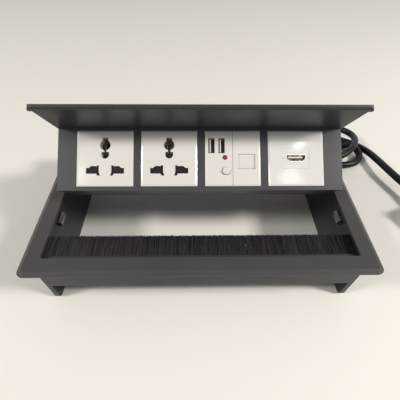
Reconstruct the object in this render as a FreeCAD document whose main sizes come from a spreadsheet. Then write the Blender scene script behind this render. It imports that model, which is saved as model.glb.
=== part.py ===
"""Flip-up desk socket box: an aluminium frame set in a desk top, with a hinged module that carries
two universal sockets, a USB charger, a data outlet and a video outlet, and a brush for the cables.

Millimetres. +Z is up, Y runs from the front (-) to the back (+), X from left (-) to right (+).
The origin is the middle of the frame's footprint, on the table that the cheeks stand on.
The module is built as it lies when the box is shut and is then turned open about its hinge.
"""
import FreeCAD, Part
import math
import os
import re

from FreeCAD import Placement, Rotation, Vector

os.makedirs("parts", exist_ok=True)
doc = FreeCAD.newDocument("desk_socket_box")

# Driving sizes: alias, value in millimetres or degrees, meaning
DRIVING_SIZES = [
    ("overall_width", 265.0, "frame, left to right"),
    ("overall_depth", 162.0, "frame, front to back"),
    ("frame_height", 60.0, "flange top above the feet"),
    ("flange_width", 14.0, "flat ring round the opening"),
    ("flange_thick", 3.0, "ring"),
    ("flange_bevel", 3.4, "width of the sloping outer edge"),
    ("flange_drop", 2.2, "fall of the sloping outer edge"),
    ("flange_corner", 5.5, "outer corner radius in plan"),
    ("opening_corner", 2.0, "inner corner radius in plan"),
    ("cheek_inset", 6.8, "flange edge to the cheek's outer face"),
    ("cheek_thick", 4.0, "side cheek"),
    ("cheek_foot", 4.0, "radius of the cheek's lower corners"),
    ("wall_inset", 9.7, "flange edge to the wall's outer face"),
    ("wall_thick", 4.0, "front and rear wall"),
    ("wall_drop", 37.1, "flange top to the wall's lower edge"),
    ("hinge_back", 20.7, "rear flange edge to the hinge axis"),
    ("hinge_drop", 7.0, "hinge axis below the flange top"),
    ("open_angle", 53.0, "module turned open from shut"),
    ("pin_radius", 2.5, "hinge pin"),
    ("pin_play", 0.05, "running clearance round the hinge pin"),
    ("seat_groove", 0.5, "groove under the ring that takes the tops of walls and cheeks"),
    ("rail_gap", 1.1, "opening's edge to the end of the grip rail"),
    ("rail_over", 1.9, "grip rail beyond the lid plate at each end"),
    ("module_gap", 7.1, "cheek's inner face to the end of the module"),
    ("lid_thick", 3.0, "lid plate"),
    ("lid_tail", 1.0, "lid plate behind the hinge axis"),
    ("rail_reach", 109.4, "hinge axis to the rail's front face"),
    ("rail_deep", 4.8, "grip rail, front to back"),
    ("rail_high", 3.4, "grip rail"),
    ("panel_reach", 66.2, "hinge axis to the panel's face"),
    ("panel_thick", 2.5, "panel frame"),
    ("floor_thick", 1.9, "module floor"),
    ("box_deep", 40.0, "module, panel face to rear face"),
    ("skin", 1.5, "module rear wall"),
    ("end_thick", 2.0, "module end plates"),
    ("plate_size", 45.0, "face plate, square"),
    ("plate_between", 6.2, "panel between two face plates"),
    ("plate_below", 1.5, "panel below the face plates, down to the module's floor"),
    ("plate_thick", 3.2, "face plate"),
    ("plate_proud", 0.6, "face plate in front of the panel"),
    ("plate_top", 5.2, "lid top to the face plates' upper edge"),
    ("plate_gap", 0.2, "clearance round a face plate"),
    ("face_skin", 1.6, "face plate's front wall"),
    ("insert_deep", 22.0, "socket body behind its plate"),
    ("cord_radius", 4.0, "mains lead"),
    ("gland_reach", 22.0, "cable gland, outside the rear wall"),
    ("gland_x", -42.0, "mains lead gland on the rear wall, from the middle"),
    ("gland_z", 39.0, "gland axis above the table"),
    ("shutter_travel", 7.2, "safety shutter"),
    ("data_travel", 12.6, "data outlet shutter"),
    ("button_travel", 1.2, "push button"),
]

sheet = doc.addObject("Spreadsheet::Sheet", "Sizes")
for row, (alias, value, meaning) in enumerate(DRIVING_SIZES, start=1):
    sheet.set(f"A{row}", meaning)
    sheet.set(f"B{row}", str(value))
    sheet.setAlias(f"B{row}", alias)
doc.recompute()
ALIASES = {alias for alias, _, _ in DRIVING_SIZES}


def size(alias):
    """The value of one driving size."""
    return float(sheet.get(alias))


def expression(text):
    """Turns words of the sheet in a formula into references to it."""
    def reference(word):
        return "Sizes." + word.group() if word.group() in ALIASES else word.group()

    return re.sub(r"[a-z][a-z_]*", reference, str(text))


def bind(thing, **formulas):
    """Ties properties to formulas in the sheet's words; Base_x stands for Placement.Base.x."""
    for key, text in formulas.items():
        path = "Placement." + key.replace("_", ".") if key.startswith("Base") else key
        thing.setExpression(path, expression(text))
    return thing


def block(name, x, y, z, dx, dy, dz):
    """A box with its low corner at x, y, z."""
    thing = doc.addObject("Part::Box", name)
    return bind(thing, Length=dx, Width=dy, Height=dz, Base_x=x, Base_y=y, Base_z=z)


def rod(name, x, y, z, radius, length, along="z"):
    """A cylinder from x, y, z along an axis."""
    thing = doc.addObject("Part::Cylinder", name)
    turns = {"z": Rotation(), "x": Rotation(Vector(0, 1, 0), 90), "y": Rotation(Vector(1, 0, 0), -90)}
    thing.Placement = Placement(Vector(), turns[along])
    return bind(thing, Radius=radius, Height=length, Base_x=x, Base_y=y, Base_z=z)


def cut(name, base, *tools):
    """Takes tools away from a base, one after another."""
    for number, tool in enumerate(tools):
        result = doc.addObject("Part::Cut", f"{name}_cut{number}" if tool is not tools[-1] else name)
        result.Base, result.Tool = base, tool
        base = result
    return base


def made(name, shape):
    """An object that holds a shape made with Part's own functions, each solid in its own place."""
    thing = doc.addObject("Part::Feature", name)
    thing.Shape = Part.makeCompound(shape.Solids)
    return thing


def solid_box(x0, x1, y0, y1, z0, z1):
    """A plain box shape between two corners."""
    return Part.makeBox(x1 - x0, y1 - y0, z1 - z0, Vector(x0, y0, z0))


def faced_box(x, z, wide, high, y0, y1):
    """A box centred at x and z, between two depths."""
    return solid_box(x - wide / 2, x + wide / 2, y0, y1, z - high / 2, z + high / 2)


def prism(points, y0, y1):
    """A prism from an outline in X and Z, between two depths."""
    corners = [Vector(x, y0, z) for x, z in points]
    return Part.Face(Part.makePolygon(corners + corners[:1])).extrude(Vector(0, y1 - y0, 0))


def tidy_union(shapes):
    """One shape from several, with split faces joined again."""
    first, *rest = shapes
    return first.multiFuse(rest).removeSplitter() if rest else first


def hinged(thing):
    """Turns a piece of the module open about the hinge axis."""
    thing.Placement = Placement(Vector(), Rotation(Vector(1, 0, 0), -size("open_angle")))
    bind(thing, Base_y=HINGE_Y, Base_z=HINGE_Z)
    thing.setExpression("Placement.Rotation.Angle", expression("-open_angle * 1 deg"))
    return thing


def rounded_rectangle(sketch, half_x, half_y, radius=0.0):
    """Draws a rectangle in a sketch, centred on its origin, with square corners unless it has a radius."""
    x, y, r = half_x, half_y, radius
    sides = (
        ((-x + r, -y), (x - r, -y)), ((x, -y + r), (x, y - r)),
        ((x - r, y), (-x + r, y)), ((-x, y - r), (-x, -y + r)),
    )
    for a, b in sides:
        sketch.addGeometry(Part.LineSegment(Vector(*a, 0), Vector(*b, 0)), False)
    corners = ((x - r, -y + r, 270), (x - r, y - r, 0), (-x + r, y - r, 90), (-x + r, -y + r, 180))
    for cx, cy, start in corners if r else ():
        circle = Part.Circle(Vector(cx, cy, 0), Vector(0, 0, 1), r)
        sketch.addGeometry(Part.ArcOfCircle(circle, math.radians(start), math.radians(start + 90)), False)


def flat_sketch(body, name, lift):
    """A sketch on the body's XY plane, lifted by a formula."""
    plane = next(f for f in body.Origin.OriginFeatures if f.Role == "XY_Plane")
    sketch = body.newObject("Sketcher::SketchObject", name)
    sketch.AttachmentSupport = [(plane, "")]
    sketch.MapMode = "FlatFace"
    sketch.setExpression("AttachmentOffset.Base.z", expression(lift))
    return sketch


HINGE_Y = "overall_depth / 2 - hinge_back"
HINGE_Z = "frame_height - hinge_drop"
hinge_y = size("overall_depth") / 2 - size("hinge_back")
hinge_z = size("frame_height") - size("hinge_drop")

half_width = size("overall_width") / 2
half_depth = size("overall_depth") / 2
opening_half_x = half_width - size("flange_width")
opening_half_y = half_depth - size("flange_width")
cheek_outer = half_width - size("cheek_inset")
cheek_inner = cheek_outer - size("cheek_thick")
wall_outer = half_depth - size("wall_inset")
wall_inner = wall_outer - size("wall_thick")
flange_under = size("frame_height") - size("flange_thick")
wall_top = flange_under + size("seat_groove")
wall_low = size("frame_height") - size("wall_drop")
RAIL_HALF = "(overall_width / 2 - flange_width - rail_gap)"
rail_half = opening_half_x - size("rail_gap")
LID_HALF = "(overall_width / 2 - flange_width - rail_gap - rail_over)"
panel_half = cheek_inner - size("module_gap")
module_inner = panel_half - size("end_thick")

SUBPARTS = []


def subpart(thing, label):
    """Names an object as a sub-part of the box."""
    thing.Label = label
    SUBPARTS.append(thing)
    return thing


# Bezel: the ring that rests on the desk top, with a sloping outer edge


def bezel():
    """Flange ring: pad, opening pocket, groove for the walls and bevel."""
    body = doc.addObject("PartDesign::Body", "Bezel")
    outline = flat_sketch(body, "BezelOutline", "frame_height - flange_thick")
    rounded_rectangle(outline, half_width, half_depth, size("flange_corner"))
    doc.recompute()
    pad = body.newObject("PartDesign::Pad", "BezelPad")
    pad.Profile = outline
    bind(pad, Length="flange_thick")
    doc.recompute()
    opening = flat_sketch(body, "BezelOpening", "frame_height")
    rounded_rectangle(opening, opening_half_x, opening_half_y, size("opening_corner"))
    doc.recompute()
    pocket = body.newObject("PartDesign::Pocket", "BezelPocket")
    pocket.Profile = opening
    pocket.Type = 1
    doc.recompute()
    seat = flat_sketch(body, "BezelSeat", "frame_height - flange_thick")
    rounded_rectangle(seat, cheek_outer, wall_outer)
    doc.recompute()
    groove = body.newObject("PartDesign::Pocket", "BezelGroove")
    groove.Profile = seat
    groove.Reversed = True
    bind(groove, Length="seat_groove")
    before = pocket.Shape.Volume
    doc.recompute()
    if not groove.Shape.Volume < before:
        raise RuntimeError("the groove cut nothing")
    top = size("frame_height")
    names = []
    for number, edge in enumerate(groove.Shape.Edges, start=1):
        box = edge.BoundBox
        reach_x, reach_y = max(abs(box.XMin), abs(box.XMax)), max(abs(box.YMin), abs(box.YMax))
        outside = reach_x > opening_half_x + 1 or reach_y > opening_half_y + 1
        if abs(box.ZMin - top) < 1e-6 and abs(box.ZMax - top) < 1e-6 and outside:
            names.append(f"Edge{number}")
    bevel = body.newObject("PartDesign::Chamfer", "BezelBevel")
    bevel.Base = (groove, names)
    bevel.ChamferType = "Two distances"
    bind(bevel, Size="flange_drop", Size2="flange_bevel")
    doc.recompute()
    return body


subpart(bezel(), "frame_bezel")

# Walls and cheeks below the ring

GLAND_HOLE = 8.5
wall_half = "overall_width / 2 - cheek_inset - cheek_thick"
front_wall = block(
    "FrontWall", f"-({wall_half})", "-overall_depth / 2 + wall_inset", "frame_height - wall_drop",
    f"2 * ({wall_half})", "wall_thick", "wall_drop - flange_thick + seat_groove",
)
subpart(front_wall, "front_wall")
REAR_INNER = "overall_depth / 2 - wall_inset - wall_thick"
rear_blank = block(
    "RearBlank", f"-({wall_half})", REAR_INNER, "frame_height - wall_drop",
    f"2 * ({wall_half})", "wall_thick", "wall_drop - flange_thick + seat_groove",
)
gland_hole = rod("GlandHole", "gland_x", REAR_INNER + " - 1", "gland_z", GLAND_HOLE, "wall_thick + 2", "y")
subpart(cut("RearWall", rear_blank, gland_hole), "rear_wall")

FIXING_Y = 50.0
FIXING_DROP = 23.0
FIXING_Z = flange_under - FIXING_DROP
FIXING_RADIUS = 2.25
CLIP_Y = -21.5
CLIP_DROP = 9.8
CLIP_Z = flange_under - CLIP_DROP
CLIP_LONG = 11.6
CLIP_HIGH = 7.0
BRUSH_DROP = 2.5
BRUSH_TOP = flange_under - BRUSH_DROP
BRUSH_HIGH = 6.0
CORNER_BLOCK = 6.5
CORNER_GAP = 0.3
CORNER_LIFT = 3.0
CORNER_LOW = wall_low + CORNER_LIFT
CORNER_TOP = BRUSH_TOP - BRUSH_HIGH - CORNER_GAP
SCREW_EDGE = 5.2
CORNER_SCREW_Z = (CORNER_LOW + SCREW_EDGE, CORNER_TOP - SCREW_EDGE)
SCREW_TIP_COVER = 1.5
SCREW_GRIP = CORNER_BLOCK - SCREW_TIP_COVER
CORNER_SCREW_RADIUS = 1.5
PIN_HEAD = 3.7
PIN_HEAD_THICK = 1.5


def cheek(side):
    """Side cheek: round lower corners, a sunk hole for the hinge pin, the clip's slot and screw holes."""
    word = "Left" if side < 0 else "Right"
    low = min(side * cheek_inner, side * cheek_outer)
    thick = size("cheek_thick")
    foot = size("cheek_foot")
    outline = [
        (-wall_outer, wall_top), (-wall_outer, foot), (-wall_outer + foot, 0.0),
        (wall_outer - foot, 0.0), (wall_outer, foot), (wall_outer, wall_top),
    ]
    bulge = foot * (1 - math.sqrt(0.5))
    points = [Vector(low, y, z) for y, z in outline]
    edges = [
        Part.LineSegment(points[0], points[1]),
        Part.Arc(points[1], Vector(low, -wall_outer + bulge, bulge), points[2]),
        Part.LineSegment(points[2], points[3]),
        Part.Arc(points[3], Vector(low, wall_outer - bulge, bulge), points[4]),
        Part.LineSegment(points[4], points[5]),
        Part.LineSegment(points[5], points[0]),
    ]
    plate = Part.Face(Part.Wire([edge.toShape() for edge in edges])).extrude(Vector(thick, 0, 0))
    bores = [(hinge_y, hinge_z, size("pin_radius"))]
    bores += [(y, FIXING_Z, FIXING_RADIUS) for y in (-FIXING_Y, FIXING_Y)]
    screw_y = wall_inner - CORNER_BLOCK / 2
    bores += [(y, z, CORNER_SCREW_RADIUS) for y in (-screw_y, screw_y) for z in CORNER_SCREW_Z]
    for y, z, radius in bores:
        plate = plate.cut(Part.makeCylinder(radius, thick + 2, Vector(low - 1, y, z), Vector(1, 0, 0)))
    sunk = Vector(side * (cheek_outer - PIN_HEAD_THICK), hinge_y, hinge_z)
    plate = plate.cut(Part.makeCylinder(PIN_HEAD, PIN_HEAD_THICK + 1, sunk, Vector(side, 0, 0)))
    slot = solid_box(
        low - 1, low + thick + 1, CLIP_Y - CLIP_LONG / 2, CLIP_Y + CLIP_LONG / 2,
        CLIP_Z - CLIP_HIGH / 2, CLIP_Z + CLIP_HIGH / 2,
    )
    return made(word + "Cheek", plate.cut(slot))


subpart(cheek(-1), "left_cheek")
subpart(cheek(1), "right_cheek")


def mirrored_pairs(x, y):
    """The four corners of a rectangle centred on the origin."""
    return [(sx * x, sy * y) for sx in (-1, 1) for sy in (-1, 1)]


def corner_blocks():
    """Four threaded blocks that join walls and cheeks."""
    blocks = []
    for x, y in mirrored_pairs(cheek_inner - CORNER_BLOCK / 2, wall_inner - CORNER_BLOCK / 2):
        half = CORNER_BLOCK / 2
        shape = solid_box(x - half, x + half, y - half, y + half, CORNER_LOW, CORNER_TOP)
        side = 1 if x > 0 else -1
        for z in CORNER_SCREW_Z:
            start = Vector(x + side * (half + 1), y, z)
            hole = Part.makeCylinder(CORNER_SCREW_RADIUS, SCREW_GRIP + 1, start, Vector(-side, 0, 0))
            shape = shape.cut(hole)
        blocks.append(shape)
    return made("CornerBlocks", Part.makeCompound(blocks))


def pan_screw(tip, direction, radius, length, head_radius, head_high):
    """A screw with a domed head and a cross recess; tip is the end of its shank."""
    axis = Vector(direction)
    shank = Part.makeCylinder(radius, length, tip, axis)
    seat = tip + axis * length
    head = Part.makeCylinder(head_radius, head_high, seat, axis)
    rim = [edge for edge in head.Edges if abs((edge.CenterOfMass - seat).dot(axis) - head_high) < 1e-6]
    head = head.makeFillet(head_high * 0.6, rim)
    across = Vector(0, 0, 1) if abs(axis.z) < 0.9 else Vector(1, 0, 0)
    other = axis.cross(across)
    for one, two in ((across, other), (other, across)):
        wide, narrow, deep = head_radius * 1.1, head_radius * 0.25, head_high * 0.6
        low = seat + axis * (head_high - deep) - one * (wide / 2) - two * (narrow / 2)
        corners = [low, low + one * wide, low + one * wide + two * narrow, low + two * narrow, low]
        bar = Part.Face(Part.makePolygon(corners)).extrude(axis * (deep + 1))
        head = head.cut(bar)
    return shank.fuse(head)


def corner_screws():
    """Eight screws through the cheeks into the corner blocks."""
    screws = []
    for x, y in mirrored_pairs(cheek_outer, wall_inner - CORNER_BLOCK / 2):
        side = 1 if x > 0 else -1
        for z in CORNER_SCREW_Z:
            length = size("cheek_thick") + SCREW_GRIP
            tip = Vector(x - side * length, y, z)
            screws.append(pan_screw(tip, (side, 0, 0), CORNER_SCREW_RADIUS, length, 2.8, 1.7))
    return made("CornerScrews", Part.makeCompound(screws))


subpart(corner_blocks(), "corner_blocks")
subpart(corner_screws(), "corner_screws")

# Brush: a channel screwed to the front wall, with the bristles reaching back under the lid's edge

HOLDER_DEEP = 5.0
BRISTLE_THICK = 3.0
BRISTLE_ROOT = 4.0
BRISTLE_TIP = 23.3
brush_half = cheek_inner - 0.6


def brush_holder():
    """Channel with a slot for the bristles' root."""
    front = -wall_inner
    back = front + HOLDER_DEEP
    channel = solid_box(-brush_half, brush_half, front, back, BRUSH_TOP - BRUSH_HIGH, BRUSH_TOP)
    middle = BRUSH_TOP - BRUSH_HIGH / 2
    slot = solid_box(
        -brush_half - 1, brush_half + 1, back - BRISTLE_ROOT, back + 1,
        middle - BRISTLE_THICK / 2, middle + BRISTLE_THICK / 2,
    )
    return made("BrushHolder", channel.cut(slot))


def bristles():
    """The brush as one soft slab, root in the channel."""
    front = -wall_inner
    middle = BRUSH_TOP - BRUSH_HIGH / 2
    return made("Bristles", solid_box(
        -brush_half + 0.5, brush_half - 0.5, front + HOLDER_DEEP - BRISTLE_ROOT, front + BRISTLE_TIP,
        middle - BRISTLE_THICK / 2, middle + BRISTLE_THICK / 2,
    ))


subpart(brush_holder(), "brush_holder")
subpart(bristles(), "brush_bristles")

# Desk clips: bright leaf springs hooked through the cheeks' slots, with a nose inside and a bowed leaf
# outside that grips the edge of the desk's cut-out

CLIP_SHEET = 0.8
CLIP_NOSE = 4.0
CLIP_BOW = 3.4
CLIP_LEAF = 26.0


def strip(points, thick):
    """The outline of a bent strip of sheet along a line of points in X and Z, as a closed polygon."""
    line = [Vector(x, 0, z) for x, z in points]
    ways = [(b - a).normalize() for a, b in zip(line, line[1:])]
    ways = [ways[0], *ways, ways[-1]]
    one, other = [], []
    for point, before, after in zip(line, ways, ways[1:]):
        mitre = (before + after).normalize()
        across = Vector(-mitre.z, 0, mitre.x) * (thick / 2 / max(mitre.dot(before), 0.5))
        one.append(point + across)
        other.append(point - across)
    return one + other[::-1] + one[:1]


def clip(side):
    """One clip, from its foot inside the cheek round the nose, out of the slot and down the leaf."""
    word = "Left" if side < 0 else "Right"
    half = CLIP_SHEET / 2
    low, high = CLIP_Z - CLIP_HIGH / 2 + half, CLIP_Z + CLIP_HIGH / 2 - half
    nose = cheek_inner - CLIP_NOSE + half
    path = [
        (cheek_inner + 1.0, low), (cheek_inner - 0.2, low), (nose, low + 1.8), (nose, high - 1.3),
        (cheek_inner - 0.2, high), (cheek_outer + half, high),
        (cheek_outer + CLIP_BOW, high - CLIP_LEAF * 0.45), (cheek_outer + CLIP_BOW, high - CLIP_LEAF * 0.7),
        (cheek_outer + half + 0.1, high - CLIP_LEAF),
    ]
    outline = Part.makePolygon(strip(path, CLIP_SHEET))
    leaf = Part.Face(outline).extrude(Vector(0, CLIP_LONG - 0.2, 0))
    leaf.translate(Vector(0, CLIP_Y - CLIP_LONG / 2 + 0.1, 0))
    return made(word + "Clip", leaf if side > 0 else leaf.mirror(Vector(0, 0, 0), Vector(1, 0, 0)))


subpart(clip(-1), "left_clip")
subpart(clip(1), "right_clip")

# Hinge: a pin in each cheek, with a friction spacer round it that keeps the module where it is put

PIN_TAIL = 1.6
PIN_INNER = module_inner - PIN_TAIL


def hinge_pins():
    """Two pins with heads flush in the cheeks' outer faces."""
    pins = []
    neck = cheek_outer - PIN_HEAD_THICK
    for side in (-1, 1):
        way = Vector(side, 0, 0)
        axis = Vector(0, hinge_y, hinge_z)
        shank = Part.makeCylinder(size("pin_radius"), neck - PIN_INNER, axis + way * PIN_INNER, way)
        head = Part.makeCylinder(PIN_HEAD, PIN_HEAD_THICK, axis + way * neck, way)
        pins.append(shank.fuse(head))
    return made("HingePins", Part.makeCompound(pins))


subpart(hinge_pins(), "hinge_pins")

SPACER_RADIUS = 3.8
SPACER_GAP = 0.3


def hinge_spacers():
    """Two spacers on the pins, from the cheek to just short of the end plate."""
    rings = []
    for side in (-1, 1):
        reach = cheek_inner - panel_half - SPACER_GAP
        start = Vector(side * (cheek_inner - reach), hinge_y, hinge_z)
        way = Vector(side, 0, 0)
        ring = Part.makeCylinder(SPACER_RADIUS, reach, start, way)
        rings.append(ring.cut(Part.makeCylinder(size("pin_radius"), reach + 2, start - way, way)))
    return made("HingeSpacers", Part.makeCompound(rings))


subpart(hinge_spacers(), "hinge_spacers")

# Stops: pins in the end plates meet pads under the flange when the module is open, and pads on the cheeks
# when it is shut

STOP_PIN_RADIUS = 1.8
STOP_REACH = 21.0
STOP_GAP = 0.3
STOP_OUTER = cheek_inner - 0.7
PAD_THICK = 1.0
PAD_HALF = 4.0
stop_turn = math.radians(size("open_angle"))
stop_open_z = wall_top - PAD_THICK - STOP_GAP - STOP_PIN_RADIUS - hinge_z


def shut_position(y, z):
    """Where a point of the open module lies when it is shut, both from the hinge axis."""
    cosine, sine = math.cos(stop_turn), math.sin(stop_turn)
    return (y * cosine - z * sine, y * sine + z * cosine)


STOP_Y, STOP_Z = shut_position(-STOP_REACH, stop_open_z)


def stop_pads():
    """Two rubber pads under the flange and two on the cheeks."""
    pads = []
    for side in (-1, 1):
        x0, x1 = sorted((side * (opening_half_x + 0.2), side * (cheek_inner - 0.1)))
        y = hinge_y - STOP_REACH
        pads.append(solid_box(x0, x1, y - PAD_HALF, y + PAD_HALF, wall_top - PAD_THICK, wall_top))
        x0, x1 = sorted((side * (cheek_inner - 4.0), side * cheek_inner))
        y, z = hinge_y + STOP_Y, hinge_z + STOP_Z - STOP_PIN_RADIUS - STOP_GAP
        pads.append(solid_box(x0, x1, y - PAD_HALF, y + PAD_HALF, z - 5.0, z))
    return made("StopPads", Part.makeCompound(pads))


subpart(stop_pads(), "stop_pads")

# Mains lead: gland on the rear wall, the cord lying on the table behind the box, and its plug

GLAND_NUT = 11.0
GLAND_NUT_THICK = 3.5
GLAND_HEXAGON = 5.0


def cable_gland():
    """Screwed gland: nut inside, threaded neck through the wall, hexagon and dome outside."""
    axis = Vector(0, 1, 0)
    wall = Vector(size("gland_x"), wall_inner, size("gland_z"))
    outside = wall + axis * size("wall_thick")
    hexagons = []
    angles = [number * math.pi / 3 for number in range(7)]
    for start, thick in ((wall - axis * GLAND_NUT_THICK, GLAND_NUT_THICK), (outside, GLAND_HEXAGON)):
        corners = [start + Vector(math.cos(angle), 0, math.sin(angle)) * GLAND_NUT for angle in angles]
        hexagons.append(Part.Face(Part.makePolygon(corners)).extrude(axis * thick))
    neck = Part.makeCylinder(GLAND_HOLE, size("wall_thick"), wall, axis)
    reach = size("gland_reach") - GLAND_HEXAGON
    tip = size("cord_radius") + 1.8
    dome = Part.makeCone(GLAND_HOLE + 0.6, tip, reach, outside + axis * GLAND_HEXAGON, axis)
    return made("CableGland", tidy_union([*hexagons, neck, dome]))


subpart(cable_gland(), "cable_gland")

# The cord's route: from the gland over to the two loops that stand out at the right, and away to the plug
LEAD_ROUTE = [
    (size("gland_x"), wall_outer + size("gland_reach"), size("gland_z")),
    (-42, 108, 38.5), (-27, 138, 36.5), (8, 162, 33), (48, 177, 29),
    (105, 185, 22.5), (148, 176, 17), (177, 162, 13.5), (194.5, 155, 12.5), (204, 142.5, 13.8),
    (201.5, 124.5, 17.2), (191.5, 108, 18.5), (172, 95, 14.5), (143, 86, 12.5), (104, 84, 8),
    (62, 84, 5), (22, 84, 4), (-15.7, 85, 4), (-38, 107, 4), (-38, 138, 5),
    (-15, 160, 8), (18, 161, 12.5), (54, 154, 14), (92, 139, 13), (130, 125, 10),
    (158, 119.5, 6.5), (175, 122.3, 5.5), (188, 127.5, 6.5), (199, 126.5, 8), (205.5, 117, 7.8),
    (204, 104, 5.3), (194.5, 95.2, 4), (176, 92.5, 4), (146, 95.5, 4), (104, 96.5, 4),
    (66, 96, 4), (38, 105, 4), (25, 126, 4), (31, 152, 4), (54, 170, 4),
    (92, 178, 4), (144, 173, 4), (169, 158.5, 4), (187, 146, 4), (206.5, 134, 4.3),
    (217, 115.5, 7.5), (220, 95, 11), (224, 74, 13), (231, 54, 13), (238.5, 35, 13),
]
RUN_COUNT, LOOP_COUNT = 4, 36
ARC_SHARE = 0.45
route = [Vector(*point) for point in LEAD_ROUTE]


def corner(number):
    """The tangent arc at one point of the route: its start, middle, end and radius."""
    before, here, after = route[number - 1:number + 2]
    back, on = (before - here), (after - here)
    reach = ARC_SHARE * min(back.Length, on.Length)
    back.normalize()
    on.normalize()
    half_turn = (math.pi - back.getAngle(on)) / 2
    radius = reach / math.tan(half_turn)
    inward = (back + on).normalize()
    middle = here + inward * (radius / math.cos(half_turn) - radius)
    return here + back * reach, middle, here + on * reach, radius


def split(run):
    """The middle of the straight part of a run."""
    start = corner(run)[2]
    return start + (corner(run + 1)[0] - start) * 0.5


def lead(name, first, last):
    """The cord from one run of the route to another: straight runs joined by tangent arcs."""
    here = route[0] if first == 0 else split(first)
    stop = route[-1] if last == len(route) - 1 else split(last)
    edges, radii = [], []
    for number in range(first + 1, last if stop == route[-1] else last + 1):
        start, middle, end, radius = corner(number)
        edges += [Part.LineSegment(here, start).toShape(), Part.Arc(start, middle, end).toShape()]
        radii.append(round(radius, 1))
        here = end
    edges.append(Part.LineSegment(here, stop).toShape())
    path = Part.Wire(edges)
    circle = Part.Circle(path.Vertexes[0].Point, edges[0].tangentAt(0), size("cord_radius"))
    tube = path.makePipeShell([Part.Wire([circle.toShape()])], True, False)
    share = tube.Volume / (math.pi * size("cord_radius") ** 2 * path.Length)
    print(name, "length", round(path.Length, 1), "volume share", round(share, 4), "radii", radii)
    return made(name, tube), path


def least_gap(path):
    """The least distance between the cord's surface and itself further along."""
    points = path.discretize(Distance=2.0)
    apart = int(math.pi * size("cord_radius") * 2)
    least = min(
        points[i].distanceToPoint(points[j])
        for i in range(len(points)) for j in range(i + apart, len(points))
    )
    return least - 2 * size("cord_radius")


lead_run, run_path = lead("LeadRun", 0, RUN_COUNT)
lead_loops, loops_path = lead("LeadLoops", RUN_COUNT, RUN_COUNT + LOOP_COUNT)
lead_tail, tail_path = lead("LeadTail", RUN_COUNT + LOOP_COUNT, len(route) - 1)
lead_length = run_path.Length + loops_path.Length + tail_path.Length
print("lead", round(lead_length, 1), "least gap in the loops", round(least_gap(loops_path), 2))
subpart(lead_run, "lead_run")
subpart(lead_loops, "lead_loops")
subpart(lead_tail, "lead_tail")

PLUG_SLEEVE = 16.0
PLUG_LONG, PLUG_WIDE, PLUG_THICK, PLUG_CORNER = 50.0, 49.0, 22.0, 9.0
PRONG_WIDE, PRONG_THICK, PRONG_LONG, PRONG_APART, PRONG_ROW = 6.4, 4.0, 17.7, 22.2, 14.0
EARTH_TALL, EARTH_LONG, EARTH_APART = 8.0, 22.7, 22.2


def at_plug(thing):
    """Puts a piece that is made with the cord coming in along +Y at the end of the route."""
    heading = (route[-1] - route[-2]).normalize()
    thing.Placement = Placement(Vector(route[-1].x, route[-1].y, 0), Rotation(Vector(0, 1, 0), heading))
    return thing


def plug_body():
    """Moulded plug lying on its back: a strain relief, a case with round corners and a flat back."""
    half = PLUG_WIDE / 2
    case = solid_box(-half, half, PLUG_SLEEVE, PLUG_SLEEVE + PLUG_LONG, 0, PLUG_THICK)
    case = case.makeFillet(PLUG_CORNER, [edge for edge in case.Edges if edge.BoundBox.ZLength > 1])
    case = case.makeChamfer(2.5, [edge for edge in case.Edges if edge.BoundBox.ZMax < 0.1])
    thin, thick = size("cord_radius") + 1.0, size("cord_radius") + 3.0
    sleeve = Part.makeCone(thin, thick, PLUG_SLEEVE + 3, Vector(0, 0, route[-1].z), Vector(0, 1, 0))
    return made("PlugBody", tidy_union([case, sleeve]))


def plug_pins():
    """Line, neutral and earth pins."""
    row = PLUG_SLEEVE + PRONG_ROW
    places = [
        (-PRONG_APART / 2, row, PRONG_WIDE, PRONG_THICK, PRONG_LONG),
        (PRONG_APART / 2, row, PRONG_WIDE, PRONG_THICK, PRONG_LONG),
        (0.0, row + EARTH_APART, PRONG_THICK, EARTH_TALL, EARTH_LONG),
    ]
    prongs = [
        solid_box(x - dx / 2, x + dx / 2, y - dy / 2, y + dy / 2, PLUG_THICK, PLUG_THICK + long)
        for x, y, dx, dy, long in places
    ]
    return made("PlugPins", Part.makeCompound(prongs))


subpart(at_plug(plug_body()), "plug_body")
subpart(at_plug(plug_pins()), "plug_pins")

# The module, in the hinge's own frame: the origin is the hinge axis, Y towards the back, Z up, shut

lid_top = size("hinge_drop")
lid_under = lid_top - size("lid_thick")
panel_face = -size("panel_reach")
box_back = panel_face + size("box_deep")
floor_top = lid_top - size("plate_top") - size("plate_size") - size("plate_below")
module_low = floor_top - size("floor_thick")
plate_centre = lid_top - size("plate_top") - size("plate_size") / 2
plate_front = panel_face - size("plate_proud")
plate_back = plate_front + size("plate_thick")
plate_pitch = size("plate_size") + size("plate_between")
plate_xs = [(slot - 1.5) * plate_pitch for slot in range(4)]

lid_blank = block(
    "LidBlank", "-" + LID_HALF, "-rail_reach + rail_deep", "hinge_drop - lid_thick",
    "2 * " + LID_HALF, "rail_reach - rail_deep + lid_tail", "lid_thick",
)
lid_edges = doc.addObject("Part::Fillet", "LidPlate")
doc.recompute()
lid_edges.Base = lid_blank
rear_edges = [
    (number, 1.2, 1.2) for number, edge in enumerate(lid_blank.Shape.Edges, start=1)
    if abs(edge.BoundBox.YMin - size("lid_tail")) < 1e-6 and edge.BoundBox.XLength > 1
]
lid_edges.Edges = rear_edges
subpart(hinged(lid_edges), "lid_plate")


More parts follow.
